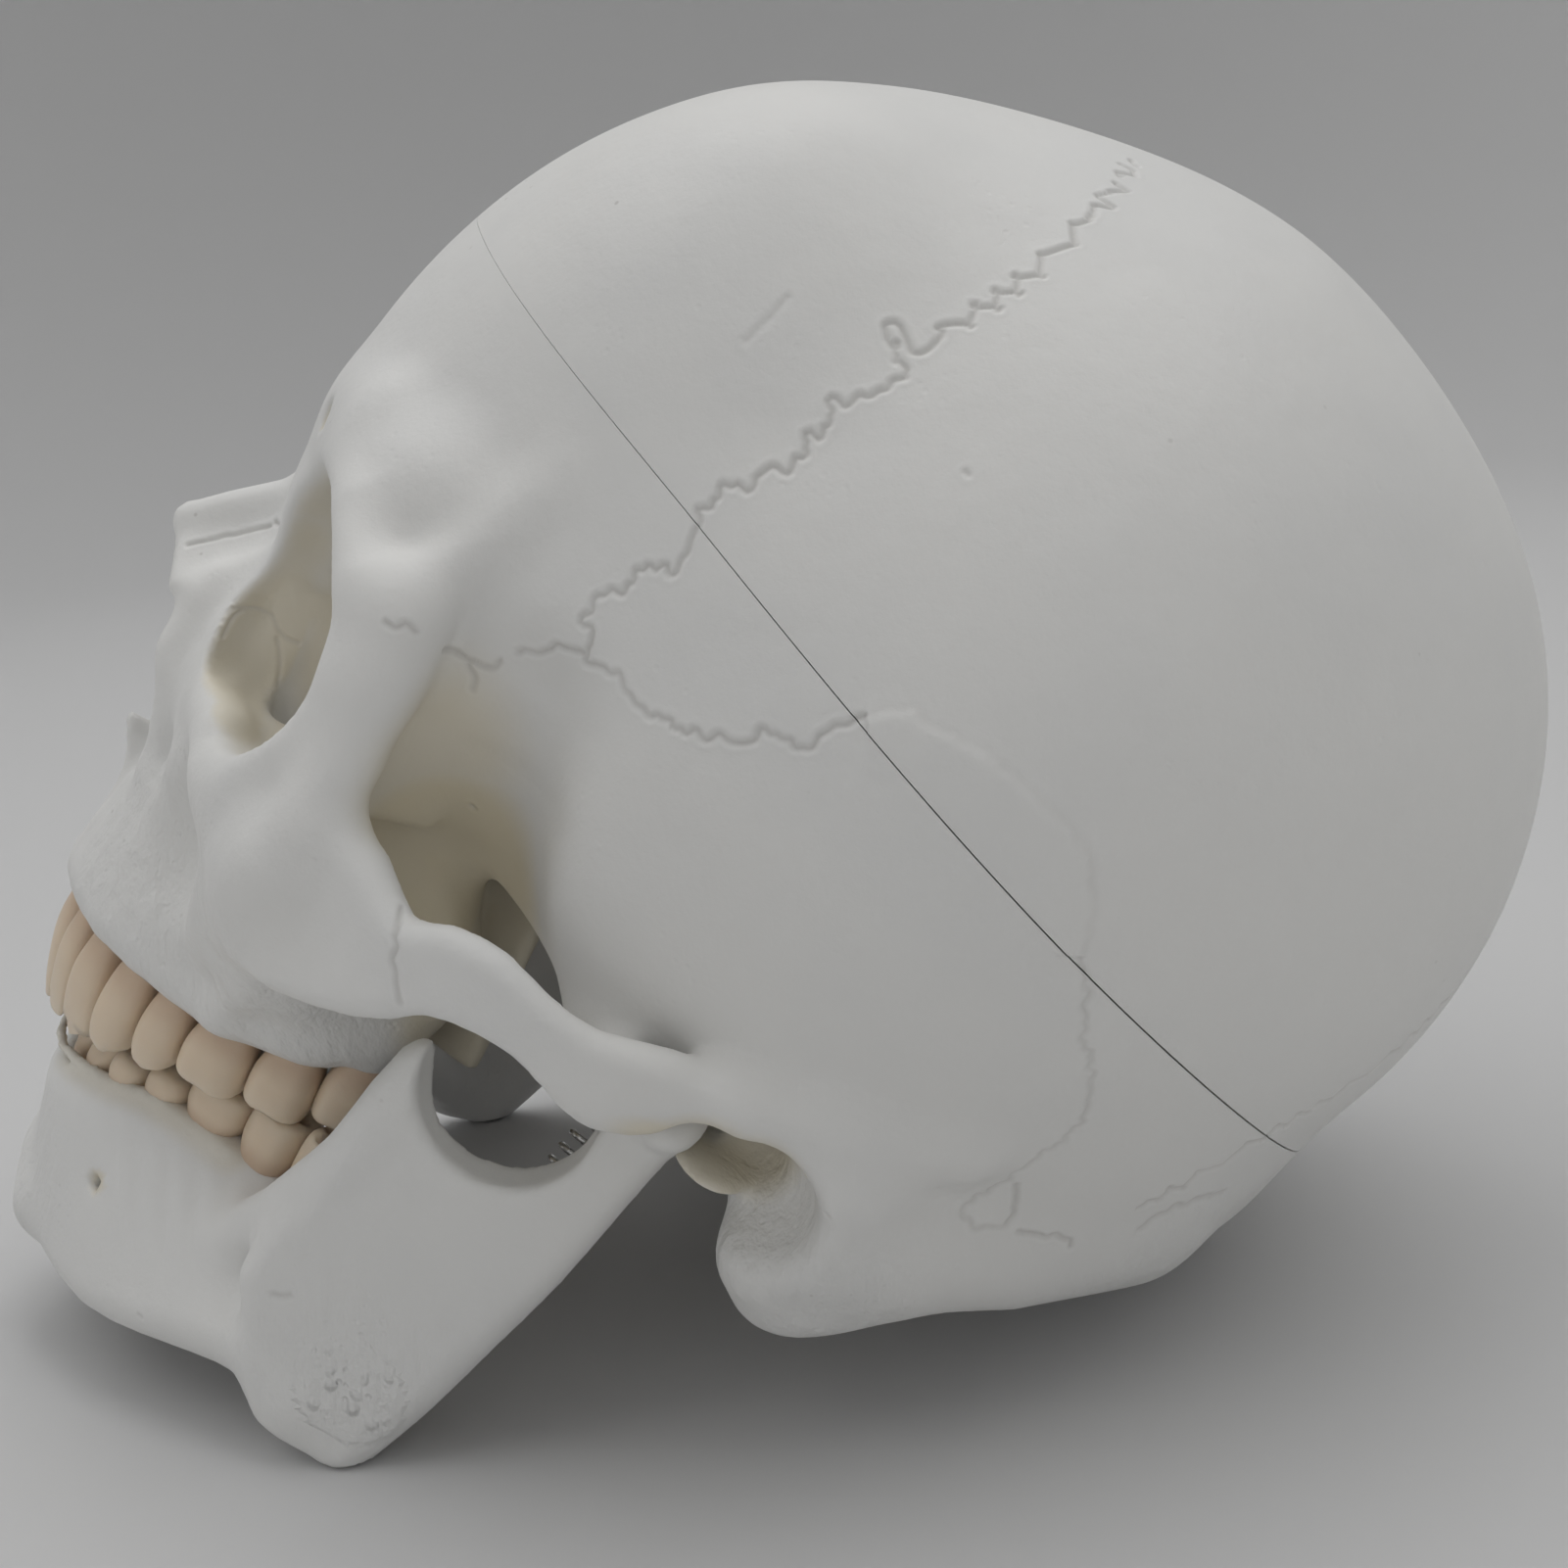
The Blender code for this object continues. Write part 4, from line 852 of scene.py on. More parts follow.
@dataclass(frozen=True)
class BonePlastic:
    """Off-white matte plastic of the bone, with painted warm shade in the hollows, a few real yellowish specks at small
    openings, and painted shade along the sutures' grooves.
    """

    name: str = "bone_plastic"
    pale: tuple = (0.76, 0.755, 0.735, 1)
    cool: tuple = (0.72, 0.72, 0.71, 1)
    # warm colour of the painted shade in the hollows, also the plastic's own yellowish specks at a few small openings
    warm_shade_and_tint: tuple = (0.70, 0.61, 0.41, 1)
    # colour of the painted shade in the suture grooves
    line: tuple = (0.47, 0.455, 0.43, 1)

    def build(self) -> bpy.types.Material:
        """Makes the material.

        Returns:
            The material.
        """
        graph = Graph(self.name)
        patches = graph.noise(38, 3, 0.55).ramp(0.35, 0.68)
        colour = graph.mix(self.pale, self.cool, patches * 0.6)
        # painted warm shade in the hollows, and real yellowish specks at a few small openings
        warmth = graph.attribute("warmth") * (0.8 + 0.4 * graph.noise(14, 3))
        colour = graph.mix(colour, self.warm_shade_and_tint, warmth.math("MINIMUM", warmth, 1.0))
        specks = graph.cells(5.2).ramp(0.075, 0.03) * graph.noise(26, 2).ramp(0.56, 0.66)
        # painted shade in the suture grooves, joined with dark specks of the plastic's own colour
        line = graph.attribute("line") * (0.12 + 0.5 * graph.noise(7, 2))
        groove_shade_and_specks = line.math("MAXIMUM", line, specks * 0.55)
        colour = graph.mix(colour, self.line, groove_shade_and_specks)
        swells = graph.bump(graph.noise(42, 2, 0.5), 1.6)
        waves = graph.bump(graph.noise(15, 4, 0.55), 0.5, swells)
        pores = graph.cells(1.7).ramp(0.32, 0.05) * graph.noise(11, 2).ramp(0.50, 0.70)
        rough = graph.attribute("rough")
        pitted = graph.bump(pores * (0.15 + 0.85 * rough), -0.25, waves)
        streaks = graph.bump(graph.noise(2.0, 3, 0.55, (1, 0.75, 0.22)) * rough.ramp(0.1, 0.5), 0.7, pitted)
        knobs = graph.cells(2.3).ramp(0.5, 0.12) * rough.ramp(0.5, 0.95) * graph.noise(6, 2).ramp(0.38, 0.6)
        coarse = graph.bump(graph.noise(2.2, 3, 0.6) * rough * 0.7 + knobs, 0.5, streaks)
        grain = graph.bump(graph.noise(0.55, 3, 0.65), 0.035, coarse)
        return graph.finish(
            {
                "Base Color": colour,
                "Roughness": 0.50 + 0.10 * graph.noise(9, 3) + 0.08 * patches,
                "Normal": grain,
                "Specular IOR Level": 0.40,
            }
        )


@dataclass(frozen=True)
class ToothPlastic:
    """Beige, fairly glossy plastic of the teeth, browner towards the gums and between them, which is painted shade, as
    is the darkening in their biting grooves.
    """

    name: str = "tooth_plastic"
    crown: tuple = (0.74, 0.605, 0.455, 1)
    tip: tuple = (0.77, 0.655, 0.51, 1)
    # colour of the painted shade at the gum line and in the biting grooves
    neck: tuple = (0.60, 0.44, 0.315, 1)

    def build(self) -> bpy.types.Material:
        """Makes the material.

        Returns:
            The material.
        """
        graph = Graph(self.name)
        level = graph.attribute("level")
        colour = graph.mix(self.crown, self.tip, level.ramp(0.45, 1.0) * (0.5 + 0.8 * graph.noise(4, 2)))
        # painted shade towards the gum line
        colour = graph.mix(colour, self.neck, (1 - level.ramp(-0.05, 0.42)) * (0.55 + 0.5 * graph.noise(3, 3)))
        # painted shade in the biting grooves
        colour = graph.mix(colour, self.neck, graph.attribute("groove") * 0.7)
        lines = graph.bump(graph.noise(1.6, 3, 0.5, (1, 1, 0.3)), 0.05)
        return graph.finish(
            {
                "Base Color": colour,
                "Roughness": 0.34 + 0.16 * graph.noise(2.5, 3),
                "Normal": graph.bump(graph.noise(0.4, 2), 0.012, lines),
                "Subsurface Weight": 0.12,
                "Subsurface Radius": (0.003, 0.0018, 0.001),
                "Subsurface Scale": 1.0,
            }
        )


@dataclass(frozen=True)
class SpringSteel:
    """Drawn steel wire with a dull sheen."""

    name: str = "spring_steel"
    bright: tuple = (0.60, 0.60, 0.59, 1)
    dull: tuple = (0.42, 0.41, 0.40, 1)

    def build(self) -> bpy.types.Material:
        """Makes the material.

        Returns:
            The material.
        """
        graph = Graph(self.name)
        stains = graph.noise(1.8, 4, 0.6).ramp(0.4, 0.7)
        return graph.finish(
            {
                "Base Color": graph.mix(self.bright, self.dull, stains),
                "Metallic": 1.0,
                "Roughness": 0.24 + 0.2 * stains,
                "Normal": graph.bump(graph.noise(0.15, 3, 0.6), 0.01),
            }
        )


@dataclass(frozen=True)
class Cove:
    """Plain pale floor that the model stands on."""

    colour: tuple = (0.62, 0.62, 0.62, 1)
    reach: float = 1.1
    bend: float = 0.7
    wall: float = 3.0  # how many times the bend's height the last ring stands
    rings: int = 14
    sides: int = 64

    def build(self) -> bpy.types.Object:
        """Makes the floor, which curves up into a backdrop on every side.

        Returns:
            The floor.
        """
        mesh = bmesh.new()
        rings = []
        last = self.rings - 1
        for step in range(self.rings):
            angle = math.pi / 2 * max(0, step - 2) / (last - 2)
            radius = self.reach * step / 2 if step < 3 else self.reach + self.bend * math.sin(angle)
            height = self.bend * (1 - math.cos(angle)) * (self.wall if step == last else 1)
            ring = []
            for side in range(self.sides if step else 1):
                turn = math.tau * side / self.sides
                ring.append(mesh.verts.new((radius * math.cos(turn), radius * math.sin(turn), height)))
            rings.append(ring)
        for inner, outer in zip(rings[:-1], rings[1:]):
            for side in range(self.sides):
                after = (side + 1) % self.sides
                pair = (outer[side], outer[after])
                if len(inner) == 1:
                    mesh.faces.new((inner[0], *pair))
                else:
                    mesh.faces.new((inner[side], *pair, inner[after]))
        data = bpy.data.meshes.new("floor")
        mesh.to_mesh(data)
        mesh.free()
        data.shade_smooth()
        floor = bpy.data.objects.new("floor", data)
        bpy.context.collection.objects.link(floor)
        graph = Graph("floor_paper")
        inputs = {"Base Color": self.colour, "Roughness": 0.75, "Specular IOR Level": 0.2}
        inputs["Normal"] = graph.bump(graph.noise(1.2, 2), 0.01)
        data.materials.append(graph.finish(inputs))
        return floor


@dataclass(frozen=True)
class Lamp:
    """Wide soft lamp, far off, that points at the model."""

    name: str
    place: tuple
    power: float
    spread: float = 60.0  # in degrees, as seen from the model
    colour: tuple = (1.0, 1.0, 1.0)

    def build(self) -> bpy.types.Object:
        """Makes the lamp.

        Returns:
            The lamp.
        """
        data = bpy.data.lights.new(self.name, "SUN")
        data.energy = self.power
        data.angle = math.radians(self.spread)
        data.color = self.colour
        lamp = bpy.data.objects.new(self.name, data)
        bpy.context.collection.objects.link(lamp)
        lamp.location = self.place
        lamp.rotation_euler = (-Vector(self.place)).to_track_quat("-Z", "Y").to_euler()
        return lamp


@dataclass(frozen=True)
class Studio:
    """Plain soft light of wide lamps and a white sky, shown without a film look."""

    lamps: tuple = (
        Lamp("face_side", (-0.2, -0.9, 0.85), 2.0, 90.0),
        Lamp("behind", (-0.45, 0.65, 1.0), 2.0, 80.0),
    )
    sky: float = 0.15

    def build(self) -> None:
        """Lights the scene."""
        for lamp in self.lamps:
            lamp.build()
        world = bpy.data.worlds.new("studio")
        world.use_nodes = True
        background = world.node_tree.nodes["Background"]
        background.inputs["Color"].default_value = (1, 1, 1, 1)
        background.inputs["Strength"].default_value = self.sky
        bpy.context.scene.world = world
        bpy.context.scene.view_settings.view_transform = "Standard"


def placed(mesh: bpy.types.Mesh, name: str, body: Piece, slot: str, *nodes: str) -> bpy.types.Object:
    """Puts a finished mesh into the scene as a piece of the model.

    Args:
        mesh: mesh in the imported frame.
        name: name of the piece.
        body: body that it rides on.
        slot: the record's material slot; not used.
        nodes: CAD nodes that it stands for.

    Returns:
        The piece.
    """
    made = bpy.data.objects.new(name, mesh)
    bpy.context.collection.objects.link(made)
    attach(made, body.value)
    if nodes:
        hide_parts(*nodes)
    LOG.info("%s: %d faces", name, len(mesh.polygons))
    return made


def outer_shells(points: np.ndarray, faces: np.ndarray, share: float = 0.05) -> tuple[np.ndarray, np.ndarray]:
    """Surface without its small loose shells.

    Args:
        points: points of the surface.
        faces: its four-sided faces.
        share: part of all points below which a shell is dropped.

    Returns:
        The points and faces that stay.
    """
    label = np.arange(len(points))
    while True:
        least = label[faces].min(1)
        new = label.copy()
        np.minimum.at(new, faces.ravel(), np.repeat(least, 4))
        new = new[new]
        if (new == label).all():
            break
        label = new
    names, sizes = np.unique(label, return_counts=True)
    kept = np.isin(label, names[sizes > share * len(points)])
    order = np.cumsum(kept) - 1
    return points[kept], order[faces[kept[faces[:, 0]]]]


def quads(points: np.ndarray, faces: np.ndarray, name: str) -> bpy.types.Mesh:
    """Mesh of a surface given by its points and four-sided faces.

    Args:
        points: points of the surface.
        faces: its faces.
        name: name of the mesh.

    Returns:
        The mesh.
    """
    mesh = bpy.data.meshes.new(name)
    mesh.vertices.add(len(points))
    mesh.vertices.foreach_set("co", points.astype(np.float32).ravel())
    mesh.loops.add(faces.size)
    mesh.loops.foreach_set("vertex_index", faces.astype(np.int32).ravel())
    mesh.polygons.add(len(faces))
    mesh.polygons.foreach_set("loop_start", np.arange(0, faces.size, 4, dtype=np.int32))
    mesh.update(calc_edges=True)
    mesh.validate()
    return mesh


def points_of(mesh: bpy.types.Mesh) -> np.ndarray:
    """Points of a mesh, one to a line."""
    found = np.empty(len(mesh.vertices) * 3, np.float32)
    mesh.vertices.foreach_get("co", found)
    return found.reshape(-1, 3).astype(float)


def store(mesh: bpy.types.Mesh, name: str, values: np.ndarray) -> None:
    """Stores a value for each point of a mesh."""
    mesh.attributes.new(name, "FLOAT", "POINT").data.foreach_set("value", values.astype(np.float32))


def shade_smooth(mesh: bpy.types.Mesh) -> None:
    """Shades all faces of a mesh smooth."""
    mesh.polygons.foreach_set("use_smooth", np.ones(len(mesh.polygons), bool))


def volume(mesh: bpy.types.Mesh) -> float:
    """Volume that a mesh holds, negative if it is inside out."""
    made = bmesh.new()
    made.from_mesh(mesh)
    found = made.calc_volume(signed=True)
    made.free()
    return found


def skin(mesh: bmesh.types.BMesh, rings: list[list[bmesh.types.BMVert]]) -> None:
    """Lays faces over rings of as many points each, and closes both ends."""
    for first, second in zip(rings[:-1], rings[1:]):
        for step, vert in enumerate(first):
            after = (step + 1) % len(first)
            mesh.faces.new((vert, first[after], second[after], second[step]))
    mesh.faces.new(rings[0])
    mesh.faces.new(rings[-1])


def closed(form: bmesh.types.BMesh, name: str) -> bpy.types.Mesh:
    """Turns a closed form's faces outwards and makes it a mesh.

    Args:
        form: the form, which is freed.
        name: name of the mesh.

    Returns:
        The mesh.
    """
    bmesh.ops.recalc_face_normals(form, faces=form.faces)
    mesh = bpy.data.meshes.new(name)
    form.to_mesh(mesh)
    form.free()
    if volume(mesh) < 0:
        mesh.flip_normals()
    return mesh


@dataclass(frozen=True)
class Suture:
    """Line on the bone, drawn over the photograph from pixel to pixel, or given by places near the bone."""

    name: str
    pixels: tuple = ()
    places: tuple = ()
    depth: float = 0.35  # how far the groove sinks
    width: float = 0.36  # half width of the groove
    wander: float = 0.4  # how far it strays to either side
    period: float = 3.3  # length of one stray to and fro
    loops: float = 0.0  # how far the strays bulge along the line
    step: float = 0.0  # how far the bone to one side stands proud
    broken: bool = False  # whether it runs in dashes
    both: bool = True  # whether the other side of the skull has it too
    FADE: ClassVar[float] = 4.0  # length over which the strays start and end, in millimetres
    FINER: ClassVar[int] = 12  # pieces that each stretch between two given points is cut into
    JUMP: ClassVar[float] = 2.0  # distance between neighbours from which the line is broken off

    def strayed(self, row: np.ndarray) -> tuple[np.ndarray, np.ndarray]:
        """Row of points that wanders to either side of the line.

        Args:
            row: points of the smooth line, evenly spaced.

        Returns:
            The points, and the way to the line's right side at each.
        """
        along = np.arange(len(row)) / PER_MM
        way = np.gradient(row, axis=0)
        way /= np.maximum(np.linalg.norm(way, axis=1), 1e-9)[:, None]
        out = row - np.array((0, 0, 30.0))
        side = np.cross(way, out / np.linalg.norm(out, axis=1)[:, None])
        fade = np.clip(np.minimum(along, along[-1] - along) / self.FADE, 0, 1)
        phase = math.tau * along / self.period + 2.2 * np.sin(along * 0.31)
        sway = np.sin(phase) + 0.7 * np.sin(along * 3.3 + 1.7 * np.sin(along * 0.47)) * (self.loops == 0)
        bulge = np.sin(2 * phase) * fade * self.loops
        moved = row + side * (sway * fade * self.wander)[:, None] + way * bulge[:, None]
        if self.broken:
            kept = np.sin(along * 2.1 + 1.3 * np.sin(along * 0.8)) > -0.25
            return moved[kept], side[kept]
        return moved, side

    def drawn(self, bone: BVHTree) -> list[tuple[np.ndarray, np.ndarray]]:
        """Points of the line on the bone, on each side of the skull that has it.

        Args:
            bone: surface of the bone in the anatomical frame.

        Returns:
            For each side of the skull, a row of points and the ways to their right.
        """
        row = [Vector(spot) for spot in self.places]
        for pixel in self.pixels:
            hit = bone.ray_cast(Vector(VIEWPOINT.place), VIEWPOINT.ray(pixel))[0]
            if hit:
                row.append(hit)
        if len(row) < 2:
            return []
        row = eased(np.array(row), self.FINER)
        steps = np.concatenate(([0], np.cumsum(np.linalg.norm(np.diff(row, axis=0), axis=1))))
        even = np.linspace(0, steps[-1], max(3, int(PER_MM * steps[-1])))
        row, side = self.strayed(np.stack([np.interp(even, steps, row[:, axis]) for axis in range(3)], 1))
        row = np.array([bone.find_nearest(Vector(spot))[0] for spot in row])
        close = np.linalg.norm(row[1:] - row[:-1], axis=1) < self.JUMP
        first, second, side = row[:-1][close], row[1:][close], side[:-1][close]
        finer = np.concatenate([first + (second - first) * share for share in (0, 1 / 3, 2 / 3)])
        sides = np.tile(side, (3, 1))
        mirror = np.array((-1, 1, 1))
        return [(finer, sides), (finer * mirror, sides * mirror)] if self.both else [(finer, sides)]


SUTURES = (
    Suture(
        "coronal",
        ((597, 675), (604, 652), (597, 633), (606, 614), (633, 602), (648, 589), (669, 576), (687, 585),
         (706, 553), (715, 526), (740, 499), (765, 495), (780, 482), (801, 478), (819, 468), (824, 447),
         (845, 438), (849, 411), (875, 409), (892, 402), (912, 389), (925, 385)),
    ),
    Suture("coronal_loops", ((925, 385), (920, 366), (906, 352), (915, 337), (940, 352), (962, 346), (972, 333),
                             (1000, 318), (1040, 290), (1075, 260), (1115, 218)), wander=1.15, period=4.3, loops=0.55),
    Suture("coronal_dashes", ((1112, 222), (1128, 205), (1140, 190), (1160, 160)), wander=0.9, period=4.0, broken=True),
    Suture("sphenofrontal", ((595, 667), (564, 660), (554, 669), (533, 664), (505, 679), (487, 679), (472, 669),
                             (453, 664)), wander=0.2, broken=True),
    Suture("sphenoid_branch", ((478, 680), (484, 692), (482, 705)), wander=0.2, depth=0.3),
    Suture("frontozygomatic", ((394, 635), (405, 641), (415, 637), (426, 646)), wander=0.15),
    Suture("zygomaticotemporal", ((411, 927), (404, 953), (402, 977), (404, 1006), (409, 1025)), wander=0.2),
    Suture(
        "squamosal",
        ((597, 677), (618, 683), (637, 698), (641, 709), (654, 725), (677, 732), (688, 744), (706, 746),
         (721, 755), (734, 750), (750, 759), (765, 757), (782, 746), (797, 752), (817, 765), (843, 748),
         (874, 734), (885, 731)),
        wander=0.25,
    ),
    Suture(
        "squamosal_edge",
        ((885, 731), (911, 725), (935, 727), (954, 743), (978, 753), (1007, 770), (1040, 796),
         (1067, 820), (1103, 858), (1115, 892), (1115, 944), (1103, 978)),
        wander=0.12, depth=0.10, width=0.5, step=0.42,
    ),
    Suture(
        "parietomastoid",
        ((1103, 978), (1110, 1007), (1107, 1059), (1115, 1093), (1107, 1140), (1086, 1164), (1045, 1193),
         (1007, 1217), (983, 1236), (997, 1253), (1026, 1253)),
        wander=0.25, depth=0.22,
    ),
    Suture("mastoid_split", ((1038, 1210), (1036, 1236), (1026, 1253)), wander=0.15),
    Suture("occipitomastoid", ((1040, 1258), (1064, 1262), (1091, 1265), (1093, 1274)), wander=0.25),
    Suture("nuchal", ((1165, 1255), (1184, 1241), (1217, 1227), (1250, 1217)), wander=0.3, depth=0.3, width=0.5),
    Suture("nasal", ((192, 556), (218, 550), (247, 544), (276, 537)), depth=0.32, wander=0.15),
    Suture("lacrimal", ((239, 621), (260, 621), (278, 630), (289, 649), (305, 657)), depth=0.2, wander=0.1, width=0.3),
    Suture("lacrimal_branch", ((283, 652), (286, 675), (284, 700)), depth=0.2, wander=0.15, width=0.3),
    Suture("face_crease", ((228, 650), (238, 630), (250, 622)), depth=0.2, wander=0.1, width=0.3),
    Suture("forehead_scratch", ((762, 348), (780, 330), (792, 318), (804, 303)), depth=0.14, wander=0.1, width=0.45),
    Suture("nasal_dot", ((281, 533), (284, 536)), depth=0.3, wander=0, width=0.35, both=False),
    Suture("temple_dot", ((481, 823), (484, 826)), depth=0.3, wander=0, width=0.35, both=False),
    Suture("vault_dot", ((986, 482), (989, 485)), depth=0.2, wander=0, width=0.35, both=False),
    Suture("mastoid_dot", ((843, 1240), (846, 1243)), depth=0.2, wander=0, width=0.3, both=False),
    Suture("sagittal", places=((0, -16, 115), (0, 8, 117), (0, 32, 112), (0, 55, 98), (0, 72, 82)), wander=1.0,
           period=4.2, loops=0.5, both=False),
    Suture("lambdoid", places=((0, 72, 82), (14, 74, 72), (28, 72, 57), (40, 66, 40), (48, 54, 22), (52, 42, 6)),
           wander=1.0, period=4.2, loops=0.5),
    Suture("internasal", places=((0, -88, 29), (0, -95, 23), (0, -103, 15)), depth=0.25, wander=0.08, both=False),
    Suture("palate", places=((0, -84, -30.5), (0, -66, -30.5), (0, -48, -30.5)), depth=0.3, wander=0.2, both=False),
)


JAW_LINES = (
    Suture("jaw_scratch", ((279, 1322), (287, 1324), (297, 1323)), depth=0.25, wander=0, width=0.4, both=False),
    Suture("jaw_dot", ((142, 1343), (145, 1346)), depth=0.2, wander=0, width=0.3, both=False),
    Suture("chin_seam", places=((0, -86.5, -66), (0, -87.5, -76), (0, -84, -88)), depth=0.12, wander=0.05, both=False),
)


class Bone:
    """Meshes of bone sculpted from clay, with their sutures cut in."""

    REACH = 2.6  # how far the finer mesh reaches to each side of a line, in steps of the grid
    LIP = 0.12  # height of the lip beside a groove, in depths of the groove
    LIP_PLACE = 2.2  # its place, in half widths of the groove
    PROUD_REACH = 9.0  # how far from its line bone still stands proud
    PROUD_EDGE = 0.35  # softness of that edge
    # the painted shade in a groove is full from this depth on
    GROOVE_SHADE_DEPTH = 0.3  # depth from which a groove is fully dark

    def __init__(self, clay: Clay, drawn_in: float, name: str) -> None:
        """Meshes the clay.

        Args:
            clay: the field.
            drawn_in: distance inside its surface at which the mesh lies.
            name: name of the mesh.
        """
        self.clay = clay
        points, faces = outer_shells(*clay.mesh(drawn_in))
        self.mesh = quads(points, faces, name)
        if volume(self.mesh) < 0:
            self.mesh.flip_normals()

    def tree(self) -> BVHTree:
        """Surface for casting rays and finding nearest places."""
        faces = [tuple(face.vertices) for face in self.mesh.polygons]
        return BVHTree.FromPolygons(points_of(self.mesh).tolist(), faces)

    def engrave(self, sutures: tuple[Suture, ...], cuts: int) -> None:
        """Cuts sutures into the surface, on a finer mesh along them.

        Args:
            sutures: the lines.
            cuts: how many times the edges near the lines are cut.
        """
        tree = self.tree()
        rows = [(suture, *pair) for suture in sutures for pair in suture.drawn(tree)]
        for suture, row, _ in rows:
            LOG.info("%s: line of %d points", suture.name, len(row))
        places = np.concatenate([row for _, row, _ in rows])
        sides = np.concatenate([side for _, _, side in rows])
        owners = [suture for suture, row, _ in rows for _ in row]
        spots = KDTree(len(places))
        for index, spot in enumerate(places):
            spots.insert(spot, index)
        spots.balance()
        mesh = bmesh.new()
        mesh.from_mesh(self.mesh)
        layer = mesh.verts.layers.float.new("line")
        reach = self.REACH * self.clay.step
        near = {vert.index for vert in mesh.verts if spots.find(vert.co)[2] < reach}
        count = len(mesh.verts)
        edges = [edge for edge in mesh.edges if edge.verts[0].index in near and edge.verts[1].index in near]
        bmesh.ops.subdivide_edges(mesh, edges=edges, cuts=cuts, use_grid_fill=True)
        fine = [vert for index, vert in enumerate(mesh.verts) if index in near or index >= count]
        for _ in range(3):
            bmesh.ops.smooth_vert(mesh, verts=fine, factor=0.5, use_axis_x=True, use_axis_y=True, use_axis_z=True)
        mesh.normal_update()
        moves = []
        for vert in mesh.verts:
            spot, index, apart = spots.find(vert.co)
            suture = owners[index]
            if apart > self.PROUD_REACH or (apart > reach and not suture.step):
                continue
            groove = math.exp(-((apart / suture.width) ** 2))
            lip = math.exp(-(((apart - self.LIP_PLACE * suture.width) / suture.width) ** 2))
            proud = 0.0
            if suture.step:
                past = (vert.co - spot).dot(Vector(sides[index])) / self.PROUD_EDGE
                proud = suture.step * max(0, 1 - apart / self.PROUD_REACH) / (1 + math.exp(min(50, -past)))
            moves.append((vert, vert.normal * ((self.LIP * lip - groove) * suture.depth + proud)))
            # painted shade in the groove, fuller the deeper the groove is
            vert[layer] = groove * min(1, suture.depth / self.GROOVE_SHADE_DEPTH)
        for vert, move in moves:
            vert.co += move
        mesh.to_mesh(self.mesh)
        mesh.free()


@dataclass(frozen=True)
class SawCut:
    """Cut that parts the skull cap from the base, with the holes for its pins."""

    spot: tuple = (0.0, 0.0, CUT_RISE)
    slope: float = CUT_SLOPE
    gap: float = 0.16  # width of the seam at the ears, for looks alone
    spread: float = 0.0014  # how much wider it gets per depth
    hole: float = 1.3  # radius of a pin's hole
    sides: int = 24
    pin_reach: tuple = (3.8, 3.3)  # depth of a pin's hole in the base and in the cap

    def normal(self) -> Vector:
        """Way in which the cap lifts, in the anatomical frame."""
        return Vector((0, -self.slope, 1)).normalized()

    def part(self, whole: bpy.types.Mesh, name: str, above: bool, pins: list[Vector]) -> bpy.types.Mesh:
        """One side of the cut bone, closed by the sawn face round its rim.

        Args:
            whole: mesh of the whole skull.
            name: name of the new mesh.
            above: whether the cap is wanted, or the base.
            pins: middle of each pin.

        Returns:
            The mesh.
        """
        way = self.normal()
        level = Vector(self.spot)
        if not above:
            level -= way * self.gap
            way = (way + Vector((0, self.spread, 0))).normalized()
        mesh = bmesh.new()
        mesh.from_mesh(whole)
        geometry = list(mesh.verts) + list(mesh.edges) + list(mesh.faces)
        bmesh.ops.bisect_plane(
            mesh, geom=geometry, dist=1e-4, plane_co=level, plane_no=way, clear_inner=above, clear_outer=not above
        )
        rim = [edge for edge in mesh.edges if edge.is_boundary]
        rings = [self.ring(mesh, spot - way * (spot - level).dot(way), way) for spot in pins]
        holes = [edge for ring in rings for edge in ring]
        bmesh.ops.triangle_fill(mesh, edges=rim + holes, use_beauty=True, use_dissolve=False)
        for edge in rim + holes:
            edge.smooth = False
        for ring in rings:
            self.sink(mesh, ring, way * (self.pin_reach[1] if above else -self.pin_reach[0]))
        return closed(mesh, name)

    def ring(self, mesh: bmesh.types.BMesh, centre: Vector, way: Vector) -> list[bmesh.types.BMEdge]:
        """Mouth of a pin's hole.

        Args:
            mesh: mesh that it is added to.
            centre: its middle.
            way: way along the hole.

        Returns:
            Its edges.
        """
        across = Vector((1, 0, 0))
        third = way.cross(across)
        verts = []
        for step in range(self.sides):
            angle = math.tau * step / self.sides
            offset = across * math.cos(angle) + third * math.sin(angle)
            verts.append(mesh.verts.new(centre + self.hole * offset))
        return [mesh.edges.new((vert, verts[(index + 1) % self.sides])) for index, vert in enumerate(verts)]

    def sink(self, mesh: bmesh.types.BMesh, ring: list[bmesh.types.BMEdge], way: Vector) -> None:
        """Draws a hole's mouth down into the bone and closes its end.

        Args:
            mesh: mesh that it belongs to.
            ring: edges of its mouth.
            way: way and length of the hole.
        """
        made = bmesh.ops.extrude_edge_only(mesh, edges=ring)["geom"]
        verts = [item for item in made if isinstance(item, bmesh.types.BMVert)]
        bmesh.ops.translate(mesh, verts=verts, vec=way)
        ends = [item for item in made if isinstance(item, bmesh.types.BMEdge) and item.is_boundary]
        for edge in ends:
            edge.smooth = False
        bmesh.ops.edgeloop_fill(mesh, edges=ends)


@dataclass(frozen=True)
class Zone:
    """Rounded region of the bone in which a finish changes."""

    centre: tuple
    radii: tuple
    strength: float = 1.0
    soft: float = 0.35

    def weight(self, points: np.ndarray) -> np.ndarray:
        """How strongly each place lies in the region.

        Args:
            points: places in the anatomical frame.

        Returns:
            The strengths.
        """
        spots = points.copy()
        spots[:, 0] = np.abs(spots[:, 0])
        near = np.linalg.norm((spots - np.array(self.centre)) / np.array(self.radii), axis=1)
        share = np.clip((1 + self.soft - near) / self.soft, 0, 1)
        return self.strength * share * share * (3 - 2 * share)


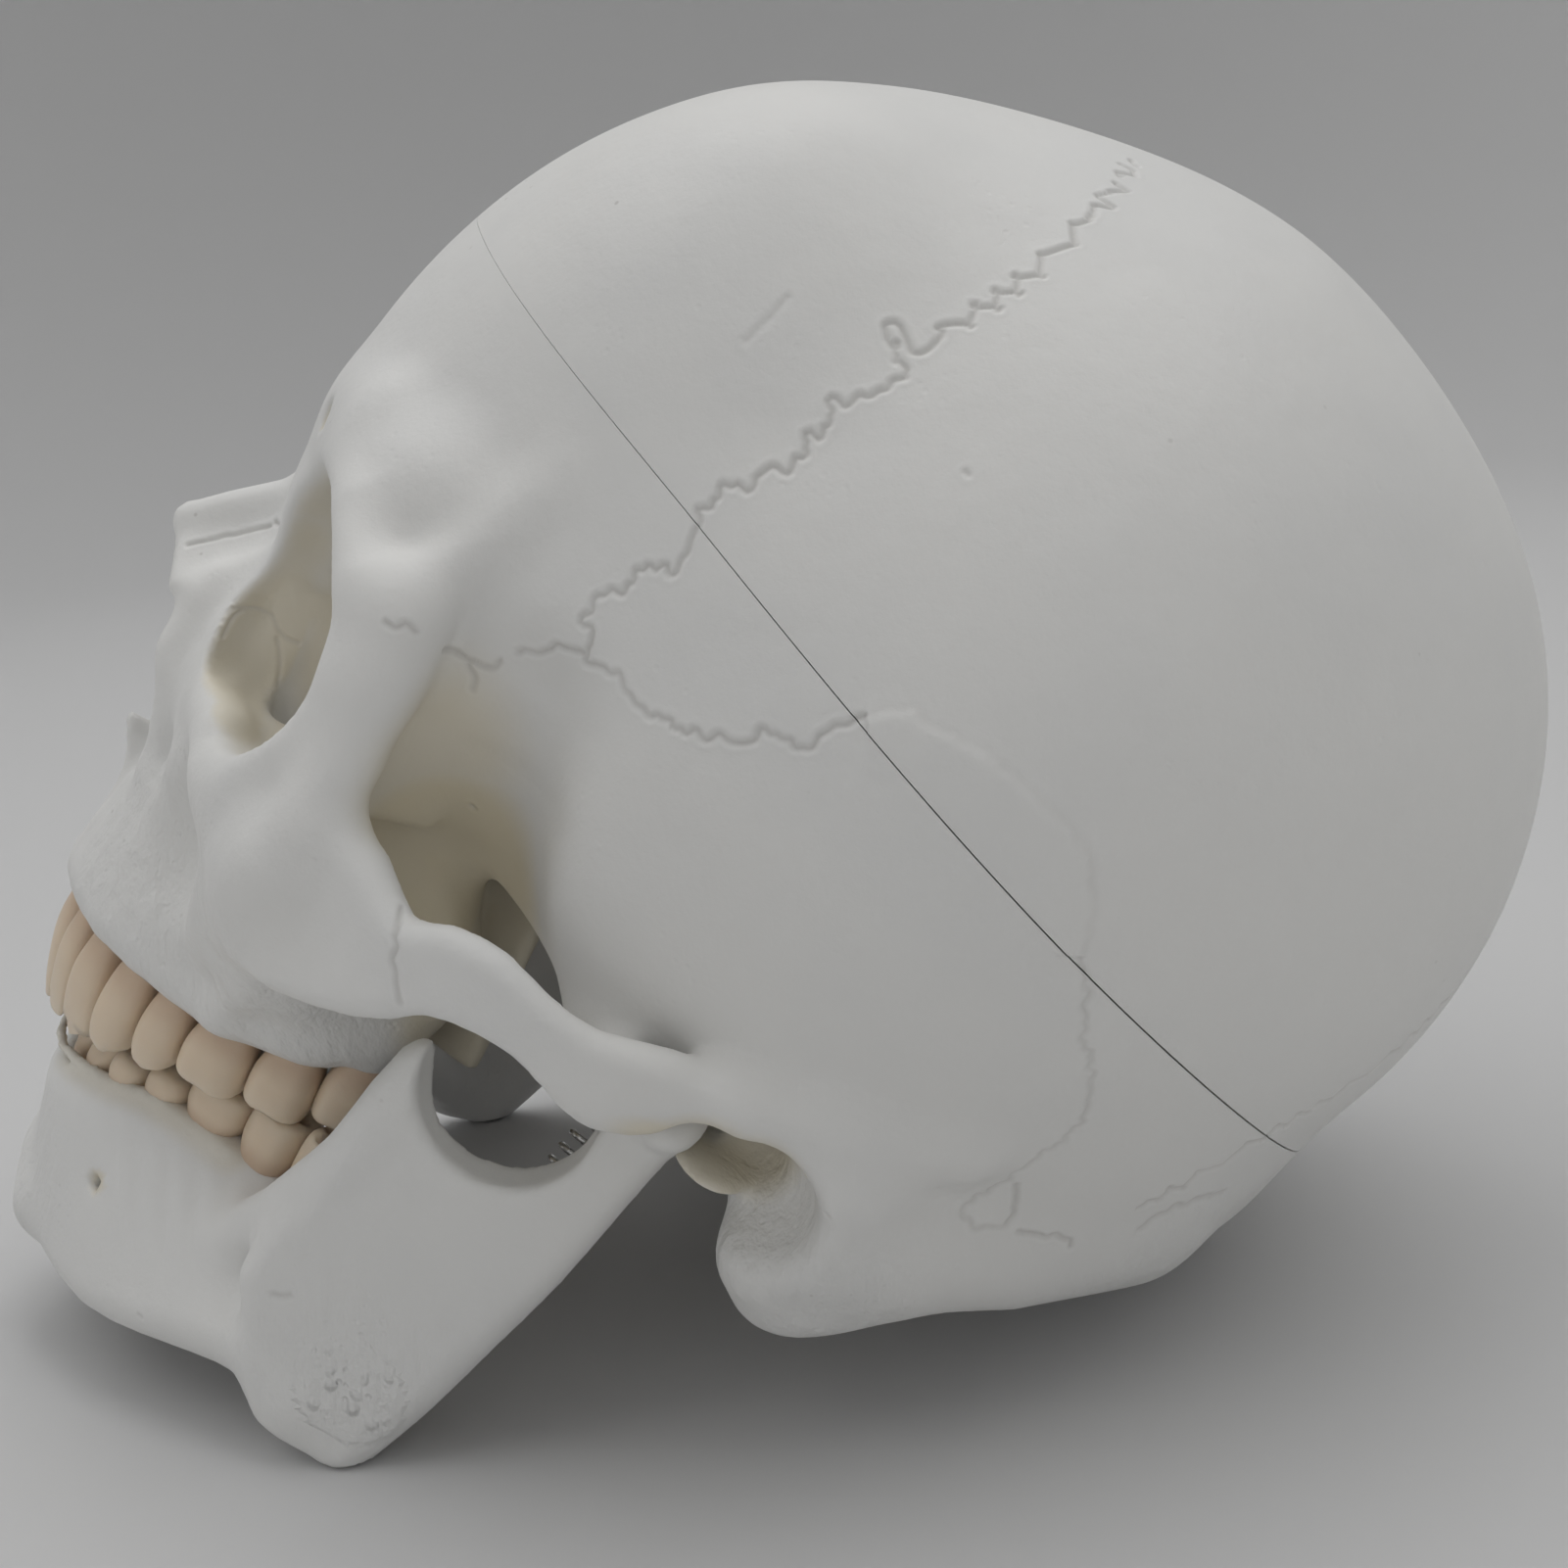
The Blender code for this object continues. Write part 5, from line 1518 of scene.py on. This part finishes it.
@dataclass(frozen=True)
class Cavity:
    """Finish that changes wherever the bone's surface was cut by one form."""

    form: "Ball | Rod | Sheet"
    strength: float
    margin: float = 0.5  # how far from the form's surface the finish still holds
    soft: float = 1.2  # how far it takes to fade

    def weight(self, points: np.ndarray) -> np.ndarray:
        """How strongly each place lies in the cavity, as for Zone."""
        apart = self.form.distance(np.abs(points[:, 0]), points[:, 1], points[:, 2])
        return self.strength * np.clip((self.margin + self.soft - apart) / self.soft, 0, 1)


@dataclass(frozen=True)
class Finish:
    """Regions of one bone in which its colour turns warmer, mostly as painted shade, and its surface roughens."""

    # zones of painted warm shade in the hollows, and of a few real yellowish specks
    warm_shade_and_tint: tuple
    rough: tuple


FACE = Face()
JAW_FORMS = JawForms()
SKULL_FINISH = Finish(
    (
        # Painted warm shade in the orbits, nose, ear hollows, joint socket, under the arch's root, behind the cheek, in
        # the temple, behind the palate and in the base's large opening; the small opening in the brow and the pit
        # behind the ear get the plastic's own yellowish specks.
        *(Cavity(form, 0.5, 0.3, 1.0) for form in FACE.orbit),
        Zone((23, -66, 13), (17, 15, 18), 0.45, 0.25),  # inner wall of the orbit
        Zone((0, -76, -8), (12, 16, 20), 0.6, 0.25),  # nose
        *(Cavity(form, 0.5, 0.3, 2.4) for form in FACE.ear_hollows[:2]),
        Zone((60, -12, -7), (6, 9, 2.5), 0.5, 0.6),  # under the arch's root
        Cavity(FACE.joint_socket, 0.3, 0.0, 2.0),
        Zone((37, -50, -3), (12, 11, 14), 0.75, 0.6),  # gap behind the cheek
        Zone((46, -56, 11), (5, 5.5, 8), 0.5, 1.5),  # lower temple
        Zone((20, -36, -18), (16, 12, 14), 0.6),  # wings behind the palate
        Zone((21.5, -86.3, 37.6), (1.4, 2.5, 1.8), 0.8),  # small opening in the brow
        Zone((56.5, 3.5, -5.5), (0.8, 0.9, 1.0), 0.9),  # pit behind the ear
        Zone((0, 16, -20), (15, 18, 10), 0.45),  # large opening in the base
    ),
    (
        Zone((52, 10, -22), (12, 13, 14), 0.5, 0.6),  # mastoid
        Zone((25, -72, -25), (22, 22, 18), 0.45, 0.6),  # upper jaw
        Zone((30, 62, -4), (34, 16, 14), 0.5, 0.6),  # nape
    ),
)
JAW_FINISH = Finish(
    (
        # Along the gum's lip the warmth is the bone's own beige edge; in the small opening beside the chin and inside
        # the ramus it is painted shade.
        Cavity(JAW_FORMS.lip, 0.3, 0.6, 2.0),
        Zone((25.5, -71, -68), (1.3, 1.5, 1.2), 0.5, 0.5),  # small opening beside the chin
        Zone((20, -40, -40), (20, 14, 14), 0.2),  # inside of the ramus
    ),
    (
        Zone((51, -29, -61), (4, 5, 4.5), 1.0, 0.8),  # knobs at the jaw's corner
        Zone((50, -30, -62), (10, 12, 12), 0.3, 0.8),  # round them
        Zone((0, -84, -80), (22, 12, 14), 0.35, 0.6),  # chin
    ),
)


def dressed(mesh: bpy.types.Mesh, material: bpy.types.Material, finish: Finish) -> bpy.types.Mesh:
    """Gives a bone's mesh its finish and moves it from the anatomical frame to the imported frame.

    Args:
        mesh: mesh in the anatomical frame.
        material: the bone's material.
        finish: where it changes.

    Returns:
        The same mesh.
    """
    points = points_of(mesh)
    # painted warm shade, and a few real yellowish specks
    store(mesh, "warmth", np.max([zone.weight(points) for zone in finish.warm_shade_and_tint], axis=0))
    store(mesh, "rough", np.max([zone.weight(points) for zone in finish.rough], axis=0))
    # a bone without sutures gets no painted groove shade
    if "line" not in mesh.attributes:
        store(mesh, "line", np.zeros(len(points)))
    mesh.materials.clear()
    mesh.materials.append(material)
    shade_smooth(mesh)
    mesh.transform(REST.matrix())
    return mesh


def cut_flats(clay: Clay) -> None:
    """Cuts the flats on which the model rests."""
    turn = Matrix.Rotation(REST.turn, 3, "X")
    x, y, z = clay.places((slice(None),) * 3)
    level = turn[2][1] * y + turn[2][2] * z + REST.shift.z / MM - FLAT_HEIGHT
    clay.field = -smooth_least(-clay.field, (level + 0 * x).astype(np.float32), 0.3)


class ToothKind(Enum):
    """Forms of a crown."""

    BLADE = "incisor"
    POINT = "canine"
    PAIR = "premolar"
    TABLE = "molar"


@dataclass(frozen=True)
class Station:
    """Place of a tooth in its row."""

    name: str
    kind: ToothKind
    middle: Vector
    way: Vector
    width: float
    height: float
    thickness: float


@dataclass(frozen=True)
class ToothRow:
    """Teeth of one jaw, from the midline back."""

    jaw: str
    body: Piece
    rise: float
    lean: float
    arch: tuple
    widths: tuple
    crowns: tuple
    depths: tuple = (5.5, 5.2, 6.0, 7.2, 7.8, 9.0, 8.8, 8.0)
    names: tuple = ("central_incisor", "lateral_incisor", "canine", "first_premolar", "second_premolar",
                    "first_molar", "second_molar", "third_molar")
    kinds: tuple = (ToothKind.BLADE, ToothKind.BLADE, ToothKind.POINT, ToothKind.PAIR, ToothKind.PAIR,
                    ToothKind.TABLE, ToothKind.TABLE, ToothKind.TABLE)
    root: float = 9.5
    gap: float = 0.10
    squareness: float = 0.72  # power of the outline's waves, 1 for an ellipse
    waist: tuple = (0.05, 0.25)  # depth and width of the groove down a molar's side
    discs: tuple = (0.15, 0.4, 0.62, 0.82, 0.94)  # sizes of the rings inside the biting edge
    sides: int = 32

    def crown_way(self) -> Vector:
        """Way from the gum to the biting edge."""
        return Vector((0, self.lean, self.rise)).normalized()

    def stations(self) -> list[Station]:
        """Places of the left teeth.

        Returns:
            A station for each tooth.
        """
        points = np.array(self.arch, float)
        lengths = np.concatenate(([0], np.cumsum(np.linalg.norm(np.diff(points, axis=0), axis=1))))

        def spot(length: float) -> Vector:
            """Place along the row."""
            return Vector([np.interp(length, lengths, points[:, axis]) for axis in range(3)])

        made = []
        start = 0.0
        for index, share in enumerate(self.widths):
            width = share * lengths[-1]
            way = (spot(start + width) - spot(start)).normalized()
            sizes = (width - self.gap, self.crowns[index], self.depths[index])
            made.append(Station(self.names[index], self.kinds[index], spot(start + width / 2), way, *sizes))
            start += width
        return made

    def profile(self, kind: ToothKind) -> np.ndarray:
        """Rings of a tooth from its biting edge to its root.

        Args:
            kind: form of the crown.

        Returns:
            Rows of place along the tooth, breadth, depth and shift outwards.
        """
        if kind in (ToothKind.BLADE, ToothKind.POINT):
            rows = ((1, 0.70, 0.20, -0.10), (0.93, 0.86, 0.30, -0.06), (0.80, 0.94, 0.48, 0), (0.6, 1, 0.70, 0.05),
                    (0.42, 0.98, 0.86, 0.07), (0.25, 0.90, 0.93, 0.05), (0.08, 0.78, 0.90, 0), (-0.1, 0.68, 0.78, 0),
                    (-0.5, 0.5, 0.6, 0), (-1, 0.2, 0.24, 0))
        elif kind is ToothKind.PAIR:
            rows = ((1, 0.34, 0.40, 0.05), (0.94, 0.54, 0.66, 0.04), (0.84, 0.76, 0.86, 0.03), (0.66, 0.95, 0.98, 0.02),
                    (0.45, 1, 1, 0.02), (0.25, 0.97, 0.97, 0.01), (0.08, 0.90, 0.90, 0), (-0.1, 0.78, 0.79, 0),
                    (-0.5, 0.55, 0.56, 0), (-1, 0.24, 0.26, 0))
        else:
            rows = ((1, 0.68, 0.62, 0), (0.96, 0.83, 0.80, 0), (0.88, 0.94, 0.92, 0), (0.7, 0.99, 0.98, 0.01),
                    (0.5, 1, 1, 0.02), (0.3, 0.98, 0.98, 0.01), (0.1, 0.90, 0.90, 0), (-0.1, 0.78, 0.79, 0),
                    (-0.5, 0.55, 0.56, 0), (-1, 0.24, 0.26, 0))
        return eased(np.array(rows), 2)

    def surface(self, station: Station, side: int) -> bpy.types.Mesh:
        """Mesh of a tooth in the anatomical frame.

        Args:
            station: its place and sizes.
            side: 1 for the left one, -1 for the right one.

        Returns:
            The mesh.
        """
        up = self.crown_way()
        along = (station.way - station.way.dot(up) * up).normalized()
        outward = up.cross(along)
        mesh = bmesh.new()
        layers = [mesh.verts.layers.float.new(name) for name in ("level", "groove")]
        loops = []
        top = self.profile(station.kind)[0]
        discs = [(top[0], top[1] * share, top[2] * share, top[3]) for share in self.discs]
        for index, (level, breadth, depth, shift) in enumerate(discs + list(self.profile(station.kind))):
            ring = []
            for step in range(self.sides):
                angle = math.tau * step / self.sides
                beside = math.copysign(abs(math.cos(angle)) ** self.squareness, math.cos(angle)) * breadth
                before = math.copysign(abs(math.sin(angle)) ** self.squareness, math.sin(angle)) * depth
                sunk, groove = self.relief(station.kind, beside, before, index < len(discs) + 3)
                height = (level - sunk) * station.height if level > 0 else level * self.root
                waist = 1.0
                if station.kind is ToothKind.TABLE:
                    waist -= self.waist[0] * math.exp(-((beside / self.waist[1]) ** 2)) * max(0, level)
                spot = station.middle + up * height + along * beside * station.width / 2
                spot = spot + outward * (before * waist + shift) * station.thickness / 2
                spot.x *= side
                vert = mesh.verts.new(spot)
                vert[layers[0]] = level
                # how far the place lies in a biting groove, which the material paints with shade
                vert[layers[1]] = groove
                ring.append(vert)
            loops.append(ring)
        skin(mesh, loops)
        return closed(mesh, station.name)

    def relief(self, kind: ToothKind, beside: float, before: float, biting: bool) -> tuple[float, float]:
        """Depth of the biting face below the crown's top, and how far a place lies in its grooves.

        Args:
            kind: form of the crown.
            beside: place along the row, from -1 to 1.
            before: place across it, from -1 to 1.
            biting: whether the place is on or near the biting face.

        Returns:
            The depth in shares of the crown's height, and the groove from 0 to 1.
        """
        if not biting:
            return 0.0, 0.0
        if kind is ToothKind.BLADE:
            return 0.03 * abs(beside), 0.0
        if kind is ToothKind.POINT:
            return 0.20 * abs(beside) ** 1.3, 0.0
        lengthwise = math.exp(-((before / 0.17) ** 2))
        if kind is ToothKind.PAIR:
            groove = lengthwise * math.exp(-((beside / 0.6) ** 4))
            return 0.16 * groove + 0.08 * abs(beside), groove
        crosswise = math.exp(-(((beside + 0.08) / 0.16) ** 2))
        groove = max(lengthwise * math.exp(-((beside / 0.65) ** 4)), crosswise)
        return 0.20 * groove, groove

    def build(self, material: bpy.types.Material) -> None:
        """Makes both sides of the row.

        Args:
            material: the teeth's material.
        """
        for station in self.stations():
            for side, word in ((1, "left"), (-1, "right")):
                mesh = self.surface(station, side)
                mesh.materials.append(material)
                shade_smooth(mesh)
                mesh.transform(REST.matrix())
                node = f"{self.jaw}_{word}_{station.name}"
                placed(mesh, node + "_crown", self.body, "tooth_plastic", node)


UPPER_TEETH = ToothRow(
    "upper", Piece.CRANIUM, -1, 0.0,
    ((0, -94.2, -41.2), (9, -90.8, -40.8), (16, -84.8, -40.4), (20.8, -77.8, -40), (24.2, -69, -39.8),
     (26.2, -61, -39), (27.2, -53, -37.2), (27.2, -43, -33.5)),
    (0.135, 0.105, 0.120, 0.112, 0.108, 0.152, 0.144, 0.124),
    (16.5, 15.5, 15, 12.5, 10.5, 8, 8, 8.4),
)
LOWER_TEETH = ToothRow(
    "lower", Piece.JAW, 1, 0.0,
    ((0, -84.5, -62.5), (8, -82.5, -62), (13.7, -78, -59.8), (17.7, -71.5, -57), (20.8, -63.5, -54),
     (23.8, -56, -53), (27.2, -49, -53), (31.4, -42, -53)),
    (0.090, 0.100, 0.112, 0.118, 0.122, 0.172, 0.160, 0.126),
    (8.5, 8.5, 7.5, 5, 5, 6.2, 7.6, 9.2),
)


@dataclass(frozen=True)
class Collars:
    """Swellings of the bone round the necks and roots of one row of teeth."""

    row: ToothRow
    drop: float  # from the gum line to the neck's ball, in tooth widths
    girth: float  # radius of that ball, in tooth widths
    root: float  # from the gum line to the root's end, in millimetres
    root_out: float  # how far the root stands out, in tooth thicknesses
    root_girth: float  # radius at its end, in tooth widths
    blend: float
    out: float = 0.10  # how far the neck stands out, in tooth thicknesses

    def forms(self) -> list[Rod]:
        """Swellings of the left teeth.

        Returns:
            A form for each tooth.
        """
        way = self.row.crown_way()
        made = []
        for tooth in self.row.stations():
            out = way.cross(tooth.way).normalized()
            neck = tooth.middle - way * self.drop * tooth.width + out * tooth.thickness * self.out
            root = tooth.middle - way * self.root + out * tooth.thickness * self.root_out
            balls = ((*neck, tooth.width * self.girth), (*root, tooth.width * self.root_girth))
            made.append(Rod(balls, self.blend))
        return made


UPPER_COLLARS = Collars(UPPER_TEETH, 0.46, 0.47, 11, 0.34, 0.30, 1.2)
LOWER_COLLARS = Collars(LOWER_TEETH, 0.5, 0.42, 9, 0.10, 0.22, 2)


class Skull:
    """Skull base and skull cap."""

    LOW, HIGH = (0, -112, -56), (76, 118, 120)  # corners of the sculpting grid
    DRAWN_IN = 0.42  # how far inside the sculpted surface the mesh lies

    def __init__(self, step: float) -> None:
        """Sets the skull up.

        Args:
            step: spacing of the sculpting grid, in millimetres.
        """
        self.step = step
        self.case = Braincase()
        self.cut = SawCut()

    def sculpt(self) -> Clay:
        """Sculpts the whole skull.

        Returns:
            Its field.
        """
        clay = Clay(self.LOW, self.HIGH, self.step)
        clay.field = self.case.outside(clay)
        hollow = self.case.hollow(clay, clay.field)
        clay.add(*FACE.brow, *FACE.rims)
        clay.cut(*FACE.temple)
        clay.add(*FACE.nose, FACE.arch, FACE.tooth_ridge, *FACE.palate, *FACE.under)
        clay.cut(*FACE.orbit, FACE.joint_socket, *FACE.ear_hollows, *FACE.dents, *FACE.nose_hollows)
        clay.add(*FACE.ear, *FACE.orbit_walls)
        clay.field = -smooth_least(-clay.field, hollow, self.case.rim)
        clay.add(*FACE.inner_nose, *UPPER_COLLARS.forms())
        cut_flats(clay)
        return clay

    def build(self, material: bpy.types.Material) -> None:
        """Makes the base and the cap.

        Args:
            material: the bone's material.
        """
        bone = Bone(self.sculpt(), self.DRAWN_IN, "whole_skull")
        bone.engrave(SUTURES, FULL_CUTS)
        pins = []
        for word in ("front", "left", "right"):
            low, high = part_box("cap_pin_" + word)
            pins.append(REST.matrix().inverted() @ ((Vector(low) + Vector(high)) / 2))
        cap = self.cut.part(bone.mesh, "calvarium_bone", True, pins)
        placed(dressed(cap, material, SKULL_FINISH), "calvarium_bone", Piece.CAP, "bone_plastic", "calvarium")
        base = self.cut.part(bone.mesh, "skull_bone", False, pins)
        nodes = ("skull_base", "facial_skeleton")
        placed(dressed(base, material, SKULL_FINISH), "skull_bone", Piece.CRANIUM, "bone_plastic", *nodes)


class LowerJaw:
    """The lower jaw's bone."""

    LOW, HIGH = (0, -95, -96), (66, 2, 4)  # corners of the sculpting grid
    DRAWN_IN = 0.25  # how far inside the sculpted surface the mesh lies

    def __init__(self, step: float) -> None:
        """Sets the jaw up.

        Args:
            step: spacing of the sculpting grid, in millimetres.
        """
        self.step = step

    def sculpt(self) -> Clay:
        """Sculpts the jaw.

        Returns:
            Its field.
        """
        clay = Clay(self.LOW, self.HIGH, self.step)
        clay.add(JAW_FORMS.body, JAW_FORMS.ramus, *JAW_FORMS.ridges)
        clay.cut(JAW_FORMS.notch)
        clay.add(JAW_FORMS.condyle, JAW_FORMS.lip)
        clay.cut(JAW_FORMS.foramen)
        clay.add(*LOWER_COLLARS.forms())
        cut_flats(clay)
        return clay

    def build(self, material: bpy.types.Material) -> None:
        """Makes the jaw.

        Args:
            material: the bone's material.
        """
        bone = Bone(self.sculpt(), self.DRAWN_IN, "mandible_bone")
        bone.engrave(JAW_LINES, FULL_CUTS)
        placed(dressed(bone.mesh, material, JAW_FINISH), "mandible_bone", Piece.JAW, "bone_plastic", "mandible")


@dataclass(frozen=True)
class JawSpring:
    """Coil spring hooked through the eyes of the skull base and the jaw."""

    side: int
    word: str
    wire: float = 0.8
    coil: float = 5.2
    turns: int = 10
    hook: float = 1.5
    eye: float = 4.6
    eye_wire: float = 1.0
    hook_turn: tuple = (70, 360)  # part of a full turn that the end loop takes up, in degrees
    hook_steps: int = 28
    tip: tuple = ((0.55, 0.35), (0.85, 0.2))  # radius and shift of the end's rings, in wires
    steps: int = 24  # points to a turn of the coil
    sides: int = 12

    def centre(self, node: str, way: Vector) -> Vector:
        """Middle of a screw eye's ring.

        Args:
            node: CAD node of the eye.
            way: way from the ring to the bone, in the anatomical frame.

        Returns:
            The place in the anatomical frame.
        """
        points = points_of(frame["nodes"][node].data) / MM
        back = np.array(Matrix.Rotation(-REST.turn, 3, "X"))
        points = (points - np.array(REST.shift) / MM) @ back.T
        middle = Vector((points.min(0) + points.max(0)) / 2)
        least = float((points @ np.array(way)).min())
        return middle + way * (least + self.eye / 2 - middle.dot(way))

    def path(self, first: Vector, second: Vector) -> list[Vector]:
        """Points of the wire's middle.

        Args:
            first: middle of the upper eye.
            second: middle of the lower eye.

        Returns:
            The points.
        """
        axis = (second - first).normalized()
        flat = Vector((axis.x, 0, axis.z)).normalized()
        ring = (self.eye - self.eye_wire) / 2
        coil = (self.coil - self.wire) / 2
        start, end = first + flat * ring, second - flat * ring
        axis = (end - start).normalized()
        across = (Vector((0, 1, 0)) - axis.y * axis).normalized()
        third = axis.cross(across)
        length = (end - start).length - 2 * self.hook
        hook = []
        for degrees in np.linspace(*self.hook_turn, self.hook_steps, endpoint=False):
            angle = math.radians(degrees)
            hook.append(self.hook * (math.cos(angle) * axis + math.sin(angle) * across))
        points = [start + offset for offset in hook]
        count = (self.turns + 1) * self.steps
        for step in range(count + 1):
            turn = step / self.steps
            lead = min(turn, self.turns + 1 - turn, 0.5) * 2
            angle = math.tau * turn
            spread = coil * lead * (math.cos(angle) * across + math.sin(angle) * third)
            points.append(start + axis * (self.hook + length * step / count) + spread)
        points += [end + offset - 2 * offset.dot(axis) * axis for offset in reversed(hook)]
        return points

    def tube(self, path: list[Vector], name: str) -> bpy.types.Mesh:
        """Round wire along a path, with rounded ends.

        Args:
            path: points of its middle.
            name: name of the mesh.

        Returns:
            The mesh.
        """
        mesh = bmesh.new()
        normal = (path[1] - path[0]).normalized().orthogonal().normalized()
        rings = []
        for index, spot in enumerate(path):
            way = (path[min(index + 1, len(path) - 1)] - path[max(index - 1, 0)]).normalized()
            normal = (normal - normal.dot(way) * way).normalized()
            other = way.cross(normal)
            rows = [(1.0, 0.0)]
            if index == 0:
                rows = [*((share, -shift) for share, shift in self.tip), *rows]
            elif index == len(path) - 1:
                rows = [*rows, *reversed(self.tip)]
            for share, shift in rows:
                ring = []
                for step in range(self.sides):
                    angle = math.tau * step / self.sides
                    offset = (normal * math.cos(angle) + other * math.sin(angle)) * self.wire / 2 * share
                    ring.append(mesh.verts.new(spot + way * shift * self.wire + offset))
                rings.append(ring)
        skin(mesh, rings)
        made = closed(mesh, name)
        shade_smooth(made)
        return made

    def build(self, material: bpy.types.Material) -> None:
        """Makes the spring.

        Args:
            material: steel of the wire.
        """
        upper = self.centre("skull_spring_eye_" + self.word, Vector((0, 0, 1)))
        lower = self.centre("jaw_spring_eye_" + self.word, Vector((self.side, 0, 0)))
        mesh = self.tube(self.path(upper, lower), "jaw_spring_wire_" + self.word)
        mesh.materials.append(material)
        mesh.transform(REST.matrix())
        made = bpy.data.objects.new("jaw_spring_wire_" + self.word, mesh)
        bpy.context.collection.objects.link(made)
        ends = [REST.matrix() @ spot for spot in (upper, lower)]
        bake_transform(made)
        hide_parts("jaw_spring_" + self.word)
        LOG.info("%s: %d faces", made.name, len(mesh.polygons))


class SmallHardware:
    """Screw eyes and cap pins, whose CAD shapes stay. The eyes get a finer surface."""

    LEVELS = 2  # of subdivision

    def build(self, material: bpy.types.Material) -> None:
        """Dresses the CAD nodes.

        Args:
            material: steel.
        """
        for name, node in frame["nodes"].items():
            if "eye" not in name and "pin" not in name:
                continue
            node.data.materials.clear()
            node.data.materials.append(material)
            if "eye" in name:
                node.modifiers.new("rounder", "SUBSURF").render_levels = self.LEVELS
            LOG.info("%s: steel", name)


def main() -> None:
    """Builds the model, the floor, the lamps and the camera."""
    logging.basicConfig(level=logging.INFO, format="%(name)s %(message)s")
    step = FULL_STEP
    bone = BonePlastic().build()
    tooth = ToothPlastic().build()
    steel = SpringSteel().build()
    Skull(step).build(bone)
    LowerJaw(step).build(bone)
    UPPER_TEETH.build(tooth)
    LOWER_TEETH.build(tooth)
    for side, word in ((1, "left"), (-1, "right")):
        JawSpring(side, word).build(steel)
    SmallHardware().build(steel)
    Cove().build()
    Studio().build()
    VIEWPOINT.build()


if __name__ == "__main__":
    main()
